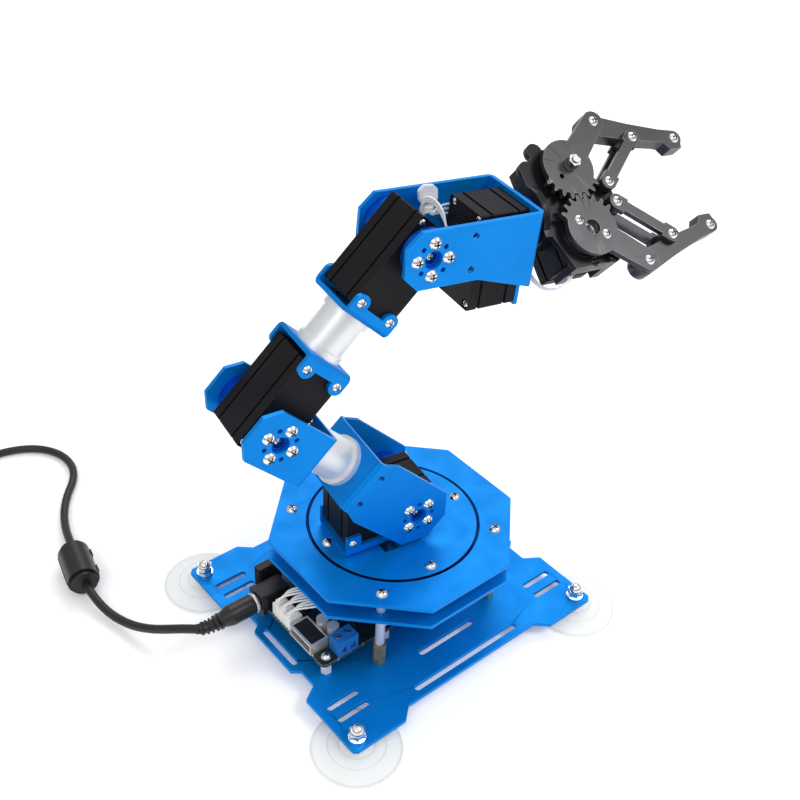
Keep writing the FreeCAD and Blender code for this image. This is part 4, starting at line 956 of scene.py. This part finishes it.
def wrist_tab(bm):
    """Flat octagonal nylon connector with a narrower neck."""
    rim = [
        (14.7, 16.0), (19.6, 15.6), (22.3, 13.2), (22.9, 8.6), (21.2, 5.8), (20.6, 1.6),
        (16.2, 2.4), (15.6, 6.4), (13.0, 9.0), (12.2, 13.6),
    ]
    bottom = [bm.verts.new((x, 14.3, z)) for x, z in rim]
    top = [bm.verts.new((x, 15.9, z)) for x, z in rim]
    bm.faces.new(bottom)
    bm.faces.new(top[::-1])
    for k in range(len(rim)):
        after = (k + 1) % len(rim)
        bm.faces.new((bottom[k], top[k], top[after], bottom[after]))
    bmesh.ops.bevel(bm, geom=bm.edges[:], offset=0.35, segments=2, affect="EDGES")
    home = frame_at(Vector((17.6, 14.2, 8.4)), Vector((0, -1, 0)), Vector((1, 0, 0)))
    add_turning(bm, [(0, 1.5), (0.5, 1.4), (0.8, 0.9), (0.9, 0.3)], home, 20)
    add_block(bm, (16.4, 13.7, 2.6), (20.4, 14.5, 5.2), 0.2)


mesh_piece("wrist_connector", wrist_tab, [milky], WRIST_HOME, "wrist")


def roll_relief(bm):
    """Ribbed cable grommet on the back of the roll servo."""
    add_block(bm, (26.4, -4.4, -6.4), (27.9, 4.4, 1.4), 0.4)
    for k in range(5):
        y = -3.9 + 1.7 * k
        add_block(bm, (24.2, y, -5.4 + 0.2 * k), (26.8, y + 1.0, 0.6 - 0.2 * k), 0.3)
    add_block(bm, (24.9, -3.6, -4.0), (26.8, 3.9, -0.8), 0.4)


mesh_piece(
    "roll_servo_grommet", roll_relief, [black], WRIST_HOME, "wrist"
)


def local_wires(home, routes):
    """Routes in mm in a home frame, taken into the scene."""
    return [[tuple(home @ (Vector(p) * MM)) for p in route] for route in routes]


tab_wires = []
for k in range(3):
    tab_wires.append([
        (19.6 + 0.3 * k, 14.9 - 0.5 * k, 2.6), (20.4, 14.7 - 0.4 * k, 1.0 + 0.6 * k),
        (24.0, 14.9, 1.4 + 1.5 * k), (29.0, 15.3, 0.6 + 2.2 * k), (36.0, 15.5, -1.2 + 2.4 * k),
        (46.0, 15.6, -2.0 + 1.4 * k),
    ])
for k in range(3):
    tab_wires.append([
        (17.0 + 0.8 * k, 14.9, 2.8), (15.8 + 0.5 * k, 14.3, 0.6 + 0.8 * k),
        (13.4 + 0.5 * k, 13.9, 4.4 + 1.3 * k), (15.4, 13.5, 9.6 + k), (19.4, 9.8, 8.0 + k),
        (20.8, 5.0, 3.4 + 1.1 * k), (22.0, 2.2 + k, -1.4), (24.5, 1.2 + k, -2.6),
    ])
wires("wrist_wiring", local_wires(WRIST_HOME, tab_wires), WIRE_RADIUS, wire_white, "wrist")

JAW_HOME = frame_at(WRIST, ROLL_AXIS, JAW_SIDE)
jaw_wires = []
for k in range(2):
    d = 1.25 * k
    jaw_wires.append([
        (58.4 + d, -13.0, -9.6), (58.6 + d, -20.0, -9.8), (59.4 + d, -27.5, -8.6),
        (60.6 + d, -33.0, -5.2), (63.0 + d, -35.6, -0.6), (66.5 + d, -35.4, 2.4),
        (70.0 + d, -33.6, 2.2), (72.6 + d, -30.6, 0.6),
    ])
wires("jaw_wiring", local_wires(JAW_HOME, jaw_wires), JAW_WIRE_RADIUS, wire_white, "gripper")

for name in SOFTENED:
    soften(name)


# ---- studio and camera ------------------------------------------------------------
CAMERA_AZIMUTH = -41.45
CAMERA_ELEVATION = 36.69
CAMERA_ROLL = 3.13
CAMERA_DISTANCE = 0.64078
CAMERA_TARGET = Vector((0.06361, 0.0716, 0.060))
FOCAL_PIXELS = 1106.91
IMAGE_PIXELS = 800
SENSOR_WIDTH = 36.0

FLOOR_HALF = 4.0
FLOOR_DROP = 0.0003             # keeps the floor clear of what stands on it
SKY_LOW = (0.0, (0.42, 0.43, 0.45, 1))
SKY_MIDDLE = (0.3, (0.62, 0.63, 0.65, 1))
SKY_HIGH = (0.85, (1, 1, 1, 1))
SKY_STRENGTH = 0.86
SOFTBOXES = (                   # name, place, target, width, height, watts
    ("key", (-0.9, -0.5, 1.1), (0, 0, 0.08), 0.8, 0.6, 3.4),
    ("fill", (0.70, -0.72, 1.15), (0.1, 0, 0.2), 0.45, 0.36, 6.5),
    ("over", (0.75, 0.85, 1.35), (0, 0, 0.05), 1.0, 0.7, 7.0),
)


def studio_camera():
    """The camera at the photograph's viewing angle."""
    azimuth = math.radians(CAMERA_AZIMUTH)
    elevation = math.radians(CAMERA_ELEVATION)
    roll = math.radians(CAMERA_ROLL)
    back = Vector((
        math.sin(azimuth) * math.cos(elevation),
        -math.cos(azimuth) * math.cos(elevation),
        math.sin(elevation),
    ))
    right = UP.cross(back).normalized()
    top = back.cross(right)
    turned_right = right * math.cos(roll) + top * math.sin(roll)
    turned_top = top * math.cos(roll) - right * math.sin(roll)
    data = bpy.data.cameras.new("photo_camera")
    data.sensor_width = SENSOR_WIDTH
    data.lens = FOCAL_PIXELS / IMAGE_PIXELS * SENSOR_WIDTH
    data.clip_start = 0.02
    data.clip_end = 20
    camera = bpy.data.objects.new("photo_camera", data)
    pose = Matrix((turned_right, turned_top, back)).transposed().to_4x4()
    pose.translation = CAMERA_TARGET + back * CAMERA_DISTANCE
    camera.matrix_world = pose
    bpy.context.scene.collection.objects.link(camera)
    bpy.context.scene.camera = camera


def softbox(name, place, target, width, height, power):
    data = bpy.data.lights.new(name, "AREA")
    data.shape = "RECTANGLE"
    data.size = width
    data.size_y = height
    data.energy = power
    light = bpy.data.objects.new(name, data)
    light.location = place
    light.rotation_euler = (Vector(target) - Vector(place)).to_track_quat("-Z", "Y").to_euler()
    bpy.context.scene.collection.objects.link(light)


def studio():
    """A white floor, a pale graded sky and three softboxes."""
    mesh = bpy.data.meshes.new("studio_floor")
    bm = bmesh.new()
    bmesh.ops.create_grid(bm, x_segments=8, y_segments=8, size=FLOOR_HALF)
    bm.to_mesh(mesh)
    bm.free()
    floor = bpy.data.objects.new("studio_floor", mesh)
    floor.location = (0, 0, -FLOOR_DROP)
    mesh.materials.append(paper_floor())
    bpy.context.scene.collection.objects.link(floor)
    world = bpy.data.worlds.new("studio_sky")
    world.use_nodes = True
    tree = world.node_tree
    sky = tree.nodes["Background"]
    place = tree.nodes.new("ShaderNodeTexCoord")
    split = tree.nodes.new("ShaderNodeSeparateXYZ")
    tree.links.new(place.outputs["Generated"], split.inputs[0])
    ramp = tree.nodes.new("ShaderNodeValToRGB")
    tree.links.new(split.outputs["Z"], ramp.inputs[0])
    stops = ramp.color_ramp.elements
    stops[0].position, stops[0].color = SKY_LOW
    stops[1].position, stops[1].color = SKY_HIGH
    stops.new(SKY_MIDDLE[0]).color = SKY_MIDDLE[1]
    tree.links.new(ramp.outputs[0], sky.inputs["Color"])
    sky.inputs["Strength"].default_value = SKY_STRENGTH
    bpy.context.scene.world = world
    for box in SOFTBOXES:
        softbox(*box)


studio_camera()
studio()
scene = bpy.context.scene
scene.view_settings.view_transform = "Standard"
scene.view_settings.look = "None"
